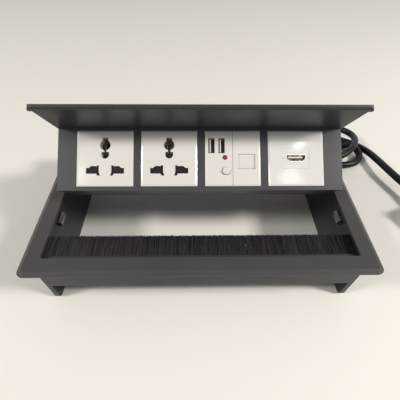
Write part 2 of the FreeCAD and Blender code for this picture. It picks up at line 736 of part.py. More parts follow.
def rail():
    """Grip rail along the lid's front: round ends and a chamfered lower lip."""
    half, front = rail_half, -size("rail_reach")
    back, low = front + size("rail_deep"), lid_top - size("rail_high")
    chamfer = 1.4
    profile = [
        (front, lid_top - 0.4), (front + 0.4, lid_top), (back, lid_top),
        (back, low), (front + chamfer, low), (front, low + chamfer),
    ]
    points = [Vector(-half, y, z) for y, z in profile]
    bar = Part.Face(Part.makePolygon(points + points[:1])).extrude(Vector(2 * half, 0, 0))
    corner = 3.5
    keep = solid_box(-half + corner, half - corner, front - 1, back + 1, low - 1, lid_top + 1)
    ends = []
    for side in (-1, 1):
        x0, x1 = sorted((side * (half - corner), side * half))
        centre = Vector(side * (half - corner), front + corner, low - 1)
        ends.append(Part.makeCylinder(corner, size("rail_high") + 2, centre))
        ends.append(solid_box(x0, x1, front + corner, back + 1, low - 1, lid_top + 1))
    return made("LidRail", bar.common(tidy_union([keep, *ends])))


subpart(hinged(rail()), "lid_rail")


def panel_frame():
    """Front frame with four square windows for the face plates."""
    window = size("plate_size") + 2 * size("plate_gap")
    back = panel_face + size("panel_thick")
    frame = solid_box(-panel_half, panel_half, panel_face, back, floor_top, lid_under)
    for x in plate_xs:
        frame = frame.cut(faced_box(x, plate_centre, window, window, panel_face - 1, back + 1))
    return made("PanelFrame", frame)


subpart(hinged(panel_frame()), "panel_frame")

VENT_COUNT = 9
VENT_PITCH = 12.0
VENT_WIDE = 2.4
VENT_HIGH = 16.0
VENT_LOW = -28.0
MODULE_GLAND_END = 32.6
MODULE_GLAND_X = MODULE_GLAND_END - module_inner
MODULE_GLAND_Z = -30.0
MODULE_GLAND_HOLE = 5.0

CASE_SCREW_RADIUS = 1.25
CASE_TAB = 1.2
CASE_TIP = 0.6
CASE_SCREW_PLACES = (
    (panel_face + 8.0, module_low + 9.0),
    (box_back - 8.0, module_low + 10.0),
    (box_back - 8.0, lid_under - 8.0),
)


def case_holes():
    """Holes for the case screws, through both ends of the module."""
    long, along = 2 * panel_half + 2, Vector(1, 0, 0)
    starts = [Vector(-panel_half - 1, y, z) for y, z in CASE_SCREW_PLACES]
    return [Part.makeCylinder(CASE_SCREW_RADIUS, long, start, along) for start in starts]


def rear_cover():
    """Floor and rear wall of the module, one folded sheet with vents, screw tabs and the lead's hole."""
    front = panel_face - 0.8
    floor = solid_box(-module_inner, module_inner, front, box_back, module_low, floor_top)
    wall_front = box_back - size("skin")
    back = solid_box(-module_inner, module_inner, wall_front, box_back, floor_top - 0.5, lid_under)
    tabs = []
    for side in (-1, 1):
        x0, x1 = sorted((side * module_inner, side * panel_half))
        tabs.append(solid_box(x0, x1, front, panel_face + size("panel_thick"), module_low, floor_top))
        x0, x1 = sorted((side * (module_inner - CASE_TAB), side * module_inner))
        (front_y, front_z), *rear = CASE_SCREW_PLACES
        tabs.append(solid_box(x0, x1, front_y - 5.0, front_y + 5.0, floor_top - 0.5, front_z + 5.0))
        tabs += [solid_box(x0, x1, y - 5.0, box_back, z - 5.0, z + 5.0) for y, z in rear]
    sheet_metal = tidy_union([floor, back, *tabs])
    for hole in case_holes():
        sheet_metal = sheet_metal.cut(hole)
    for number in range(VENT_COUNT):
        x = (number - (VENT_COUNT - 1) / 2) * VENT_PITCH
        vent = faced_box(x, VENT_LOW + VENT_HIGH / 2, VENT_WIDE, VENT_HIGH, box_back - 3, box_back + 1)
        sheet_metal = sheet_metal.cut(vent)
    start = Vector(MODULE_GLAND_X, box_back - 4, MODULE_GLAND_Z)
    return made("RearCover", sheet_metal.cut(Part.makeCylinder(MODULE_GLAND_HOLE, 6, start, Vector(0, 1, 0))))


subpart(hinged(rear_cover()), "rear_cover")

KNUCKLE = 4.0


def end_plate(side):
    """End of the module with the arm that turns on the hinge pin."""
    word = "Left" if side < 0 else "Right"
    x0, x1 = sorted((side * module_inner, side * panel_half))
    main = solid_box(x0, x1, panel_face + size("panel_thick"), box_back, module_low, lid_under)
    arm_points = [
        (box_back - 1, lid_under), (KNUCKLE, lid_under), (KNUCKLE, 0.0),
        (0.0, -KNUCKLE - 1.5), (STOP_Y + 3.5, STOP_Z - 3.5), (box_back - 1, STOP_Z - 14.0),
    ]
    points = [Vector(x0, y, z) for y, z in arm_points]
    arm = Part.Face(Part.makePolygon(points + points[:1])).extrude(Vector(x1 - x0, 0, 0))
    plate = tidy_union([main, arm])
    running = size("pin_radius") + size("pin_play")
    bore = Part.makeCylinder(running, 10, Vector(x0 - 4, 0, 0), Vector(1, 0, 0))
    stop_hole = Part.makeCylinder(STOP_PIN_RADIUS, 10, Vector(x0 - 4, STOP_Y, STOP_Z), Vector(1, 0, 0))
    for hole in case_holes():
        plate = plate.cut(hole)
    return made(word + "EndPlate", plate.cut(bore).cut(stop_hole))


subpart(hinged(end_plate(-1)), "left_end_plate")
subpart(hinged(end_plate(1)), "right_end_plate")


def stop_pins():
    """Two dowels that stand out of the end plates under the flange."""
    pins = []
    inner = module_inner - 1.5
    for side in (-1, 1):
        start = Vector(side * inner, STOP_Y, STOP_Z)
        pins.append(Part.makeCylinder(STOP_PIN_RADIUS, STOP_OUTER - inner, start, Vector(side, 0, 0)))
    return made("StopPins", Part.makeCompound(pins))


subpart(hinged(stop_pins()), "stop_pins")

# Universal sockets

SOCKET_EARTH_Z = 10.8
SOCKET_EARTH_RADIUS = 4.25
SOCKET_EARTH_NECK = 2.35
SOCKET_EARTH_TOP = 17.0
SOCKET_EARTH_SLOT = 1.05
SOCKET_CUP_Z = 2.9
SOCKET_CUP_RADIUS = 3.1
SOCKET_CUP_TOP = 5.2
COLLAR_WALL = 1.0
COLLAR_DEEP = 5.0
COLLAR_GAP = 0.3
LINE_INNER, LINE_OUTER = 4.85, 15.2
LINE_LOW, LINE_HIGH = -12.35, -7.75
ARCH_LOW_X, ARCH_HIGH_X, ARCH_TOP = 6.95, 12.1, -6.2
UPRIGHT_TOP = -5.7
FOOT_X, FOOT_WIDE, FOOT_LOW = 3.9, 2.2, -13.95


def earth_aperture(y0, y1, grow=0.0):
    """The earth hole of a universal socket, centred on its plate, wider all round by grow."""
    axis = Vector(0, 1, 0)
    neck, slot, cup = (half + grow for half in (SOCKET_EARTH_NECK, SOCKET_EARTH_SLOT, SOCKET_CUP_RADIUS))
    round_end = Part.makeCylinder(cup, y1 - y0, Vector(0, y0, SOCKET_CUP_Z), axis)
    return tidy_union([
        Part.makeCylinder(SOCKET_EARTH_RADIUS + grow, y1 - y0, Vector(0, y0, SOCKET_EARTH_Z), axis),
        solid_box(-neck, neck, y0, y1, SOCKET_EARTH_Z, SOCKET_EARTH_TOP + grow),
        solid_box(-slot, slot, y0, y1, SOCKET_CUP_Z, SOCKET_EARTH_Z),
        round_end.common(solid_box(-cup, cup, y0, y1, SOCKET_CUP_Z - cup, SOCKET_CUP_Z)),
        solid_box(-cup, cup, y0, y1, SOCKET_CUP_Z, SOCKET_CUP_TOP + grow),
    ])


def mains_apertures(y0, y1):
    """The line and neutral holes of a universal socket, centred on its plate."""
    mains = []
    for side in (-1, 1):
        mains.append(solid_box(*sorted((side * LINE_INNER, side * LINE_OUTER)), y0, y1, LINE_LOW, LINE_HIGH))
        arch = [
            (ARCH_LOW_X - 1.2, LINE_HIGH - 0.5), (ARCH_LOW_X + 0.5, ARCH_TOP),
            (ARCH_HIGH_X - 0.9, ARCH_TOP), (ARCH_HIGH_X + 1.5, LINE_HIGH - 0.5),
        ]
        upright = [
            (LINE_INNER, LINE_LOW + 0.5), (LINE_INNER, UPRIGHT_TOP),
            (ARCH_LOW_X, UPRIGHT_TOP), (ARCH_LOW_X, LINE_LOW + 0.5),
        ]
        foot = [
            (FOOT_X, FOOT_LOW), (FOOT_X + FOOT_WIDE, FOOT_LOW),
            (ARCH_LOW_X + 0.3, LINE_LOW + 0.6), (LINE_INNER, LINE_LOW + 1.4),
        ]
        for outline in (arch, upright, foot):
            mains.append(prism([(side * x, z) for x, z in outline], y0, y1))
    return tidy_union(mains)


POCKET_X, POCKET_TOP, POCKET_LOW = 16.2, -4.7, -21.9
SHUTTER_X, SHUTTER_TOP, SHUTTER_LOW, SHUTTER_PLAY = 15.8, -5.1, -14.3, 0.2

RIM_WIDE = 1.3
RIM_FALL = 0.5


def face_blank(x, wide, left_rim=RIM_WIDE, right_rim=RIM_WIDE):
    """A face plate blank, centred at x, whose front has a sloping rim; a joint's side has none."""
    half_wide, half = wide / 2, size("plate_size") / 2
    shoulder = plate_front + RIM_FALL
    back = faced_box(x, plate_centre, wide, size("plate_size"), shoulder, plate_back)
    outlines = []
    for y, left, right, ends in ((shoulder, 0.0, 0.0, 0.0), (plate_front, left_rim, right_rim, RIM_WIDE)):
        x0, x1, z1 = -half_wide + left, half_wide - right, half - ends
        corners = ((x0, -z1), (x1, -z1), (x1, z1), (x0, z1))
        points = [Vector(x + cx, y, plate_centre + cz) for cx, cz in corners]
        outlines.append(Part.makePolygon(points + points[:1]))
    return tidy_union([back, Part.makeLoft(outlines, True, True)])


def socket_plate(number, x):
    """White face plate with the apertures, a collar behind the earth hole and the shutter's pocket."""
    at = Vector(x, 0, plate_centre)
    collar = earth_aperture(plate_back - 1, plate_back + COLLAR_DEEP, COLLAR_WALL)
    plate = tidy_union([face_blank(x, size("plate_size")), collar.translated(at)])
    for hole in (
        earth_aperture(plate_front - 1, plate_back + COLLAR_DEEP + 1),
        mains_apertures(plate_front - 1, plate_back + 1),
    ):
        plate = plate.cut(hole.translated(at))
    pocket_front = plate_front + size("face_skin")
    pocket = solid_box(-POCKET_X, POCKET_X, pocket_front, plate_back + 1, POCKET_LOW, POCKET_TOP)
    return made(f"Socket{number}Plate", plate.cut(pocket.translated(at)))


def socket_shutter(number, x):
    """Dark slide behind the line and neutral holes."""
    front = plate_front + size("face_skin") + SHUTTER_PLAY
    back = plate_back - SHUTTER_PLAY
    slab = solid_box(-SHUTTER_X, SHUTTER_X, front, back, SHUTTER_LOW, SHUTTER_TOP)
    return made(f"Socket{number}Shutter", slab.translated(Vector(x, 0, plate_centre)))


BODY_INSET = 2.0
CONTACTS = ((0.0, SOCKET_EARTH_Z, 6.0), (-10.0, -10.0, 7.0), (10.0, -10.0, 7.0))
EARTH_WELL_WIDE = 2 * (SOCKET_EARTH_RADIUS + COLLAR_WALL + COLLAR_GAP)
EARTH_WELL_LOW = SOCKET_CUP_Z - SOCKET_CUP_RADIUS - COLLAR_WALL - COLLAR_GAP
EARTH_WELL_TOP = SOCKET_EARTH_TOP + COLLAR_WALL + COLLAR_GAP
CONTACT_WALL = 0.8
CONTACT_DEEP = 11.0
CONTACT_HIGH = 7.6


def socket_body(number, x):
    """Moulded body behind the plate, with three wells for the contacts."""
    half = size("plate_size") / 2 - BODY_INSET
    back = plate_back + size("insert_deep")
    moulding = solid_box(-half, half, plate_back, back, -half, half)
    for cx, cz, wide in CONTACTS:
        moulding = moulding.cut(faced_box(cx, cz, wide, CONTACT_HIGH, plate_back - 1, back - 3.0))
    middle, high = (EARTH_WELL_LOW + EARTH_WELL_TOP) / 2, EARTH_WELL_TOP - EARTH_WELL_LOW
    well = faced_box(0.0, middle, EARTH_WELL_WIDE, high, plate_back - 1, back - CONTACT_DEEP)
    return made(f"Socket{number}Body", moulding.cut(well).translated(Vector(x, 0, plate_centre)))


def socket_contacts(number, x):
    """Three brass clips, each a U of strip in its well."""
    back = plate_back + size("insert_deep") - 3.0
    front = back - CONTACT_DEEP
    clips = []
    for cx, cz, wide in CONTACTS:
        high = CONTACT_HIGH - 0.2
        inside = wide - 0.2 - 2 * CONTACT_WALL
        outer = faced_box(cx, cz, wide - 0.2, high, front, back - 0.1)
        clips.append(outer.cut(faced_box(cx, cz, inside, high + 2, front - 1, back - CONTACT_WALL)))
    return made(f"Socket{number}Contacts", Part.makeCompound(clips).translated(Vector(x, 0, plate_centre)))


for number, x in enumerate(plate_xs[:2], start=1):
    subpart(hinged(socket_plate(number, x)), f"socket_{number}_plate")
    subpart(hinged(socket_body(number, x)), f"socket_{number}_body")
    subpart(hinged(socket_contacts(number, x)), f"socket_{number}_contacts")
    subpart(hinged(socket_shutter(number, x)), f"socket_{number}_shutter")

# USB charger and data outlet: two half plates in the third window

HALF_GAP = 0.3
half_plate = size("plate_size") / 2 - HALF_GAP
usb_x = plate_xs[2] - size("plate_size") / 4
data_x = plate_xs[2] + size("plate_size") / 4
USB_PORTS = (-5.9, 2.3)
USB_Z = 10.3
USB_WIDE, USB_HIGH, USB_SHELL = 5.1, 12.3, 0.35
USB_DEEP = 14.0
TONGUE_INSET, TONGUE_SIDE = 2.0, 1.1
TONGUE_WIDE, TONGUE_HIGH = 1.15, 10.6
LED_X, LED_Z, LED_RADIUS = 4.9, 0.6, 1.6
BUTTON_X, BUTTON_Z, BUTTON_RADIUS, BUTTON_PLAY = 5.9, -10.2, 3.2, 0.3
BUTTON_PROUD = 1.7
STEM_RADIUS, STEM_GAP = 1.5, 0.2
SWITCH_HIGH = 4.0
switch_front = plate_front + 0.8 + USB_DEEP + 0.1 - SWITCH_HIGH


def usb_plate():
    """Half plate with two upright ports, an indicator and a button."""
    plate = face_blank(usb_x, half_plate, right_rim=0.0)
    for port in USB_PORTS:
        x, z = usb_x + port, plate_centre + USB_Z
        plate = plate.cut(faced_box(x, z, USB_WIDE, USB_HIGH, plate_front - 1, plate_back + 1))
    for x, z, radius in ((LED_X, LED_Z, LED_RADIUS), (BUTTON_X, BUTTON_Z, BUTTON_RADIUS + BUTTON_PLAY)):
        start = Vector(usb_x + x, plate_front - 3, plate_centre + z)
        plate = plate.cut(Part.makeCylinder(radius, 10, start, Vector(0, 1, 0)))
    return made("UsbPlate", plate)


def usb_ports():
    """Two metal shells in the plate's openings, closed at the back."""
    shells = []
    front = plate_front + 0.8
    for port in USB_PORTS:
        x, z = usb_x + port, plate_centre + USB_Z
        outer = faced_box(x, z, USB_WIDE, USB_HIGH, front, front + USB_DEEP)
        wide, high = USB_WIDE - 2 * USB_SHELL, USB_HIGH - 2 * USB_SHELL
        shells.append(outer.cut(faced_box(x, z, wide, high, front - 1, front + USB_DEEP - 1.0)))
    return made("UsbPorts", Part.makeCompound(shells))


def usb_tongues():
    """The white contact carriers inside the ports, near their left side."""
    bars = []
    front, back = plate_front + TONGUE_INSET, plate_front + 0.8 + USB_DEEP - 1.0
    for port in USB_PORTS:
        x, z = usb_x + port - TONGUE_SIDE, plate_centre + USB_Z
        bars.append(faced_box(x, z, TONGUE_WIDE, TONGUE_HIGH, front, back))
    return made("UsbTongues", Part.makeCompound(bars))


def usb_led():
    """Domed indicator lens."""
    start = Vector(usb_x + LED_X, plate_front - 0.1, plate_centre + LED_Z)
    lens = Part.makeCylinder(LED_RADIUS, 4.0, start, Vector(0, 1, 0))
    rim = [edge for edge in lens.Edges if abs(edge.BoundBox.YMax - start.y) < 1e-3]
    return made("UsbLed", lens.makeFillet(0.5, rim))


def usb_button():
    """Push button with a softened rim."""
    axis = Vector(0, 1, 0)
    front = Vector(usb_x + BUTTON_X, plate_front - BUTTON_PROUD, plate_centre + BUTTON_Z)
    cap = Part.makeCylinder(BUTTON_RADIUS, 4.5, front, axis)
    rim = [edge for edge in cap.Edges if abs(edge.BoundBox.YMax - front.y) < 1e-3]
    stem_end = switch_front - size("button_travel") - STEM_GAP
    stem = Part.makeCylinder(STEM_RADIUS, stem_end - front.y - 1, front + axis, axis)
    return made("UsbButton", cap.makeFillet(0.6, rim).fuse(stem))


BOARD_BACK = 12.0
BOARD_WIDE, BOARD_HIGH, BOARD_THICK = 20.0, 38.0, 1.6
WINDING_WIDE, WINDING_HIGH, WINDING_LIFT = 13.0, 14.0, 1.0
CAPACITOR_RADIUS, CAPACITOR_LONG, CAPACITOR_DROP = 4.0, 10.0, 12.5
SWITCH_WIDE = 4.4


def usb_board():
    """Charger board behind the ports, with its transformer and capacitor."""
    y = plate_front + 0.8 + USB_DEEP + 0.1
    back = y + BOARD_THICK
    board = faced_box(usb_x, plate_centre, BOARD_WIDE, BOARD_HIGH, y, back)
    middle = plate_centre + WINDING_LIFT
    transformer = faced_box(usb_x, middle, WINDING_WIDE, WINDING_HIGH, back, y + BOARD_BACK)
    foot = Vector(usb_x, back, plate_centre - CAPACITOR_DROP)
    capacitor = Part.makeCylinder(CAPACITOR_RADIUS, CAPACITOR_LONG, foot, Vector(0, 1, 0))
    switch = faced_box(usb_x + BUTTON_X, plate_centre + BUTTON_Z, SWITCH_WIDE, SWITCH_WIDE, switch_front, y)
    return made("UsbBoard", tidy_union([board, transformer, capacitor, switch]))


DATA_WIDE, DATA_LOW, DATA_HIGH = 13.9, -8.9, 3.4
DATA_SKIN = 0.9
GROOVE_LOW, GROOVE_HIGH, GROOVE_DEEP = 0.3, 0.45, 0.5


def data_plate():
    """Half plate with the shuttered window of the data outlet and a track for the shutter behind it."""
    plate = face_blank(data_x, half_plate, left_rim=0.0)
    middle, high = plate_centre + (DATA_LOW + DATA_HIGH) / 2, DATA_HIGH - DATA_LOW
    window = faced_box(data_x, middle, DATA_WIDE, high, plate_front - 1, plate_back + 1)
    track = solid_box(
        data_x - DATA_WIDE / 2 - 1.0, data_x + DATA_WIDE / 2 + 1.0, plate_front + DATA_SKIN, plate_back + 1,
        plate_centre + DATA_LOW - 1.0, plate_centre + DATA_HIGH + 1.0 + size("data_travel") + 0.3,
    )
    return made("DataPlate", plate.cut(window).cut(track))


def data_shutter():
    """Spring shutter that slides up behind the plate, with a groove for a fingernail near its lower edge."""
    front = plate_front + DATA_SKIN + 0.15
    middle, high = plate_centre + (DATA_LOW + DATA_HIGH) / 2, DATA_HIGH - DATA_LOW + 1.6
    slab = faced_box(data_x, middle, DATA_WIDE + 1.6, high, front, plate_back - 0.2)
    at = plate_centre + DATA_LOW + GROOVE_LOW + GROOVE_HIGH / 2
    groove = faced_box(data_x, at, DATA_WIDE, GROOVE_HIGH, front - 1, front + GROOVE_DEEP)
    return made("DataShutter", slab.cut(groove))


JACK_WIDE, JACK_HIGH, JACK_DEEP = 14.6, 16.0, 22.0
JACK_MOUTH_WIDE, JACK_MOUTH_HIGH = 11.8, 8.2


def data_jack():
    """Data jack behind the shutter: a box with the plug's mouth and its latch notch."""
    z = plate_centre + (DATA_LOW + DATA_HIGH) / 2
    front, depth = plate_back - 1, plate_back + 12.0
    jack = faced_box(data_x, z, JACK_WIDE, JACK_HIGH, plate_back, plate_back + JACK_DEEP)
    mouth = faced_box(data_x, z - 3.5 + JACK_MOUTH_HIGH / 2, JACK_MOUTH_WIDE, JACK_MOUTH_HIGH, front, depth)
    notch = solid_box(data_x - 3.1, data_x + 3.1, front, depth, z - 5.6, z - 3.0)
    return made("DataJack", jack.cut(mouth).cut(notch))


for thing, label in (
    (usb_plate(), "usb_plate"), (usb_ports(), "usb_ports"), (usb_tongues(), "usb_tongues"),
    (usb_led(), "usb_led"), (usb_button(), "usb_button"), (usb_board(), "usb_board"),
    (data_plate(), "data_plate"), (data_shutter(), "data_shutter"), (data_jack(), "data_jack"),
):
    subpart(hinged(thing), label)

# Video outlet: a full plate with an insert that holds the connector

video_x = plate_xs[3]
INSERT_WIDE, INSERT_HIGH = 22.2, 16.8
VIDEO_WIDE, VIDEO_HIGH, VIDEO_SHELL = 16.4, 6.4, 0.8


def video_outline(grow):
    """The connector's outline: flat top and drawn-in lower corners."""
    half, top, low = VIDEO_WIDE / 2 + grow, VIDEO_HIGH / 2 + grow, -VIDEO_HIGH / 2 - grow
    right = [(half, top), (half, -0.6), (half - 1.6, -1.9), (half - 1.6, low)]
    return right + [(-x, z) for x, z in reversed(right)]


def video_plate():
    """Glossy plate with a window for the insert."""
    plate = face_blank(video_x, size("plate_size"))
    wide, high = INSERT_WIDE + 0.16, INSERT_HIGH + 0.16
    window = faced_box(video_x, plate_centre, wide, high, plate_front - 1, plate_back + 1)
    return made("VideoPlate", plate.cut(window))


def video_insert():
    """Insert with the connector's opening and two snap slots at its sides."""
    insert = faced_box(0.0, 0.0, INSERT_WIDE, INSERT_HIGH, plate_front + 0.05, plate_back)
    insert = insert.cut(prism(video_outline(0.0), plate_front - 1, plate_back + 1))
    for side in (-1, 1):
        x0, x1 = sorted((side * (INSERT_WIDE / 2 - 1.7), side * (INSERT_WIDE / 2 + 1)))
        insert = insert.cut(solid_box(x0, x1, plate_front - 1, plate_front + 1.0, -0.2, 0.2))
    return made("VideoInsert", insert.translated(Vector(video_x, 0, plate_centre)))


def video_port():
    """Metal shell of the connector."""
    front, back = plate_front - 0.2, plate_front + 11.0
    hollow = prism(video_outline(-VIDEO_SHELL), front - 1, back - 1.0)
    shell = prism(video_outline(0.0), front, back).cut(hollow)
    return made("VideoPort", shell.translated(Vector(video_x, 0, plate_centre)))


def video_tongue():
    """Contact tongue and the moulded body behind the connector."""
    front = plate_front
    tongue = solid_box(-5.8, 5.8, front + 1.2, front + 10.0, 0.3, 1.5)
    body = solid_box(-11.0, 11.0, front + 11.1, front + 24.0, -8.0, 8.0)
    return made("VideoTongue", Part.makeCompound([tongue, body]).translated(Vector(video_x, 0, plate_centre)))


for thing, label in (
    (video_plate(), "video_plate"), (video_insert(), "video_insert"),
    (video_port(), "video_port"), (video_tongue(), "video_carrier"),
):
    subpart(hinged(thing), label)

# Wiring inside the module

TERMINAL_X = (plate_xs[1] + plate_xs[2]) / 2
TERMINAL_PITCH = 9.5
TERMINAL_DEEP = 9.0
TERMINAL_HIGH = 14.0
TERMINAL_SCREW = 2.2
TERMINAL_GAP = 0.5
TERMINAL_COUNT = 3


def terminal_block():
    """Screw terminal on the floor in front of the rear wall, where the lead comes in."""
    wide = TERMINAL_PITCH * TERMINAL_COUNT
    back = box_back - size("skin") - TERMINAL_GAP
    middle = floor_top + TERMINAL_HIGH / 2
    shape = faced_box(TERMINAL_X, middle, wide, TERMINAL_HIGH, back - TERMINAL_DEEP, back)
    for number in range(TERMINAL_COUNT):
        x = TERMINAL_X - wide / 2 + TERMINAL_PITCH * (number + 0.5)
        hole = Part.makeCylinder(TERMINAL_SCREW, TERMINAL_HIGH, Vector(x, back - TERMINAL_DEEP / 2, middle))
        shape = shape.cut(hole)
    return made("TerminalBlock", shape)


BUSBAR_PITCH = 9.0
BUSBAR_OVER = 18.0
BUSBAR_WIDE, BUSBAR_THICK = 5.0, 1.2


def busbars():
    """Three flat brass bars behind the socket bodies."""
    front = plate_back + size("insert_deep") + 0.1
    back = front + BUSBAR_THICK
    middle, long = (plate_xs[0] + plate_xs[1]) / 2, plate_pitch + 2 * BUSBAR_OVER
    heights = [plate_centre + step * BUSBAR_PITCH for step in (-1, 0, 1)]
    bars = [faced_box(middle, z, long, BUSBAR_WIDE, front, back) for z in heights]
    return made("Busbars", Part.makeCompound(bars))


def module_gland():
    """Grommet where the lead enters the module's rear wall."""
    at = Vector(MODULE_GLAND_X, box_back - size("skin") - 1.2, MODULE_GLAND_Z)
    axis = Vector(0, 1, 0)
    inner = Part.makeCylinder(MODULE_GLAND_HOLE + 1.8, 1.2, at, axis)
    neck = Part.makeCylinder(MODULE_GLAND_HOLE, size("skin") + 1.2, at, axis)
    collar = Part.makeCylinder(MODULE_GLAND_HOLE + 1.8, 2.0, at + axis * (size("skin") + 1.2), axis)
    bore = Part.makeCylinder(3.6, 10, at - axis, axis)
    return made("ModuleGland", tidy_union([inner, neck, collar]).cut(bore))


def case_screws():
    """Screws through the end plates into the rear cover's tabs."""
    screws = []
    length = size("end_thick") + CASE_TAB + CASE_TIP
    for side in (-1, 1):
        for y, z in CASE_SCREW_PLACES:
            tip = Vector(side * (panel_half - length), y, z)
            screws.append(pan_screw(tip, (side, 0, 0), CASE_SCREW_RADIUS, length, 2.4, 1.3))
    return made("CaseScrews", Part.makeCompound(screws))


for thing, label in (
    (terminal_block(), "terminal_block"), (busbars(), "busbars"),
    (module_gland(), "module_gland"), (case_screws(), "case_screws"),
):
    subpart(hinged(thing), label)

# Export

doc.recompute()
faulty = [thing.Label for thing in doc.Objects if "Invalid" in thing.State or "Error" in thing.State]
if faulty:
    raise RuntimeError("objects that failed: " + ", ".join(faulty))
for thing in SUBPARTS:
    if thing.Shape.isNull() or not thing.Shape.isValid() or not thing.Shape.Solids:
        raise RuntimeError("bad shape: " + thing.Label)
    thing.Shape.exportStep(f"parts/{thing.Label}.step")
print(len(SUBPARTS), "sub-parts")
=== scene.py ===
"""Looks of a flip-up desk socket box: finishes, cable brush, mains lead and small fittings.

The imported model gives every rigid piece. This file dresses those pieces, and builds the ones
that need a finer shape: the lead, the brush and the small parts in the outlets.
Metres throughout: +X right along the panel, +Y to the hinge, +Z up out of the desk.
"""

import logging
import math
from dataclasses import dataclass
from enum import Enum

import bmesh
import bpy
from mathutils import Matrix, Vector


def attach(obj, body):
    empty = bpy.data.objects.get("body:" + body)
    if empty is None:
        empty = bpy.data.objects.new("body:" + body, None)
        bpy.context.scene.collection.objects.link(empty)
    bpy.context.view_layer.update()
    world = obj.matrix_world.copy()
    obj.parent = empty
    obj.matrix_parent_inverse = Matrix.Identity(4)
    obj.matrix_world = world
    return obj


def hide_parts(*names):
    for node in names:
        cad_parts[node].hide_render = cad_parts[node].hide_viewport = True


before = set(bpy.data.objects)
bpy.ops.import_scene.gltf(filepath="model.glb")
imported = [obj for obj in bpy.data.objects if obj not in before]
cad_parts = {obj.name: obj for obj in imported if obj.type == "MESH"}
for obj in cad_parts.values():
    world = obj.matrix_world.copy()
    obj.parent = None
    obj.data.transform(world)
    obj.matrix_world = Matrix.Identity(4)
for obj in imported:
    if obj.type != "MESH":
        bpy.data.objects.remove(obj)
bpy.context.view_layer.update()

LOG = logging.getLogger("desk_socket_box")
Colour = tuple[float, float, float]
Point = tuple[float, float, float]
MM = 0.001
MICRON = 0.000001
EVEN: Point = (1.0, 1.0, 1.0)


# Places on the part


@dataclass(frozen=True)
class OpenModule:
    """Where the tilted module lies: its own axes seen from the frame."""

    hinge_y: float = 60.3 * MM
    hinge_z: float = 53.0 * MM
    tilt: float = math.radians(53.0)

    def matrix(self) -> Matrix:
        """Turns and moves a shape that is built shut, with the hinge axis at the origin."""
        return Matrix.Translation((0.0, self.hinge_y, self.hinge_z)) @ Matrix.Rotation(-self.tilt, 4, "X")


MODULE = OpenModule()
PLATE_FRONT = -66.8 * MM
PLATE_CENTRE = -20.7 * MM


# Node trees


class NodeTree:
    """A node tree under construction."""

    PREFIX = ""

    def __init__(self, tree: bpy.types.NodeTree) -> None:
        """Takes the tree that the nodes go into."""
        self.tree = tree

    def node(self, kind: str, **values: object) -> bpy.types.Node:
        """Adds a node.

        Args:
            kind: Blender's name of the node type, without the tree's prefix.
            values: attributes to set on the node.

        Returns:
            The new node.
        """
        made = self.tree.nodes.new(self.PREFIX + kind)
        for key, value in values.items():
            setattr(made, key, value)
        return made

    def link(self, source: bpy.types.NodeSocket, target: bpy.types.NodeSocket) -> None:
        """Joins two sockets."""
        self.tree.links.new(source, target)


class ShaderTree(NodeTree):
    """The node tree of a material or of the world."""

    PREFIX = "ShaderNode"
    # Places on a Mix node: its share, its two colours and its result
    SHARE, FIRST, SECOND, MIXED = 0, 6, 7, 2

    def blend(self, tones: tuple[Colour, Colour], share: bpy.types.NodeSocket) -> bpy.types.NodeSocket:
        """Mixes two colours.

        Args:
            tones: the colour at a share of 0 and the one at a share of 1.
            share: the share's socket.

        Returns:
            The mixed colour's socket.
        """
        mix = self.node("Mix", data_type="RGBA")
        for slot, tone in zip((self.FIRST, self.SECOND), tones):
            mix.inputs[slot].default_value = (*tone, 1.0)
        self.link(share, mix.inputs[self.SHARE])
        return mix.outputs[self.MIXED]


# Finishes


class Texture(Enum):
    """How a finish breaks up the light."""

    SATIN_ANODISED = "fine speckle with soft drawn streaks"
    MOULDED = "shallow spark-eroded grain"
    POLISHED = "smooth moulding with faint waves"
    BRUSHED = "fine lines along the piece"
    PLATED = "bright plating with small pits"
    FIBRE = "streaks that differ from fibre to fibre"
    JACKET = "extruded cord jacket"


@dataclass(frozen=True)
class Finish:
    """One finish: its colour and how it scatters light.

    Attributes:
        name: what the finish is called.
        colour: its colour in linear light.
        texture: the grain on its surface.
        roughness: middle value, which wear makes lower and higher.
        metallic: 1 for bare metal.
        variation: how far the colour wanders, as a share of it.
        relief: height of the grain.
        coat: weight of a clear skin over it.
        shine: level of its plain reflection.
        painted_depth_from: depth behind the face plates' front at which the painted depth tone sets in.
        painted_depth_tone: factor on the colour beyond that depth, 1 for none; below 1 it is painted shade,
            above 1 painted light.
    """

    name: str
    colour: Colour
    texture: Texture
    roughness: float = 0.4
    metallic: float = 0.0
    variation: float = 0.06
    relief: float = 10 * MICRON
    coat: float = 0.0
    shine: float = 0.5
    painted_depth_from: float = 0.0
    painted_depth_tone: float = 1.0

    @property
    def title(self) -> str:
        """The material's name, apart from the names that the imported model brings."""
        return "finish_" + self.name

    def material(self) -> bpy.types.Material:
        """Builds the finish's material, or gives the one already built."""
        return bpy.data.materials.get(self.title) or FinishTree(self).build()


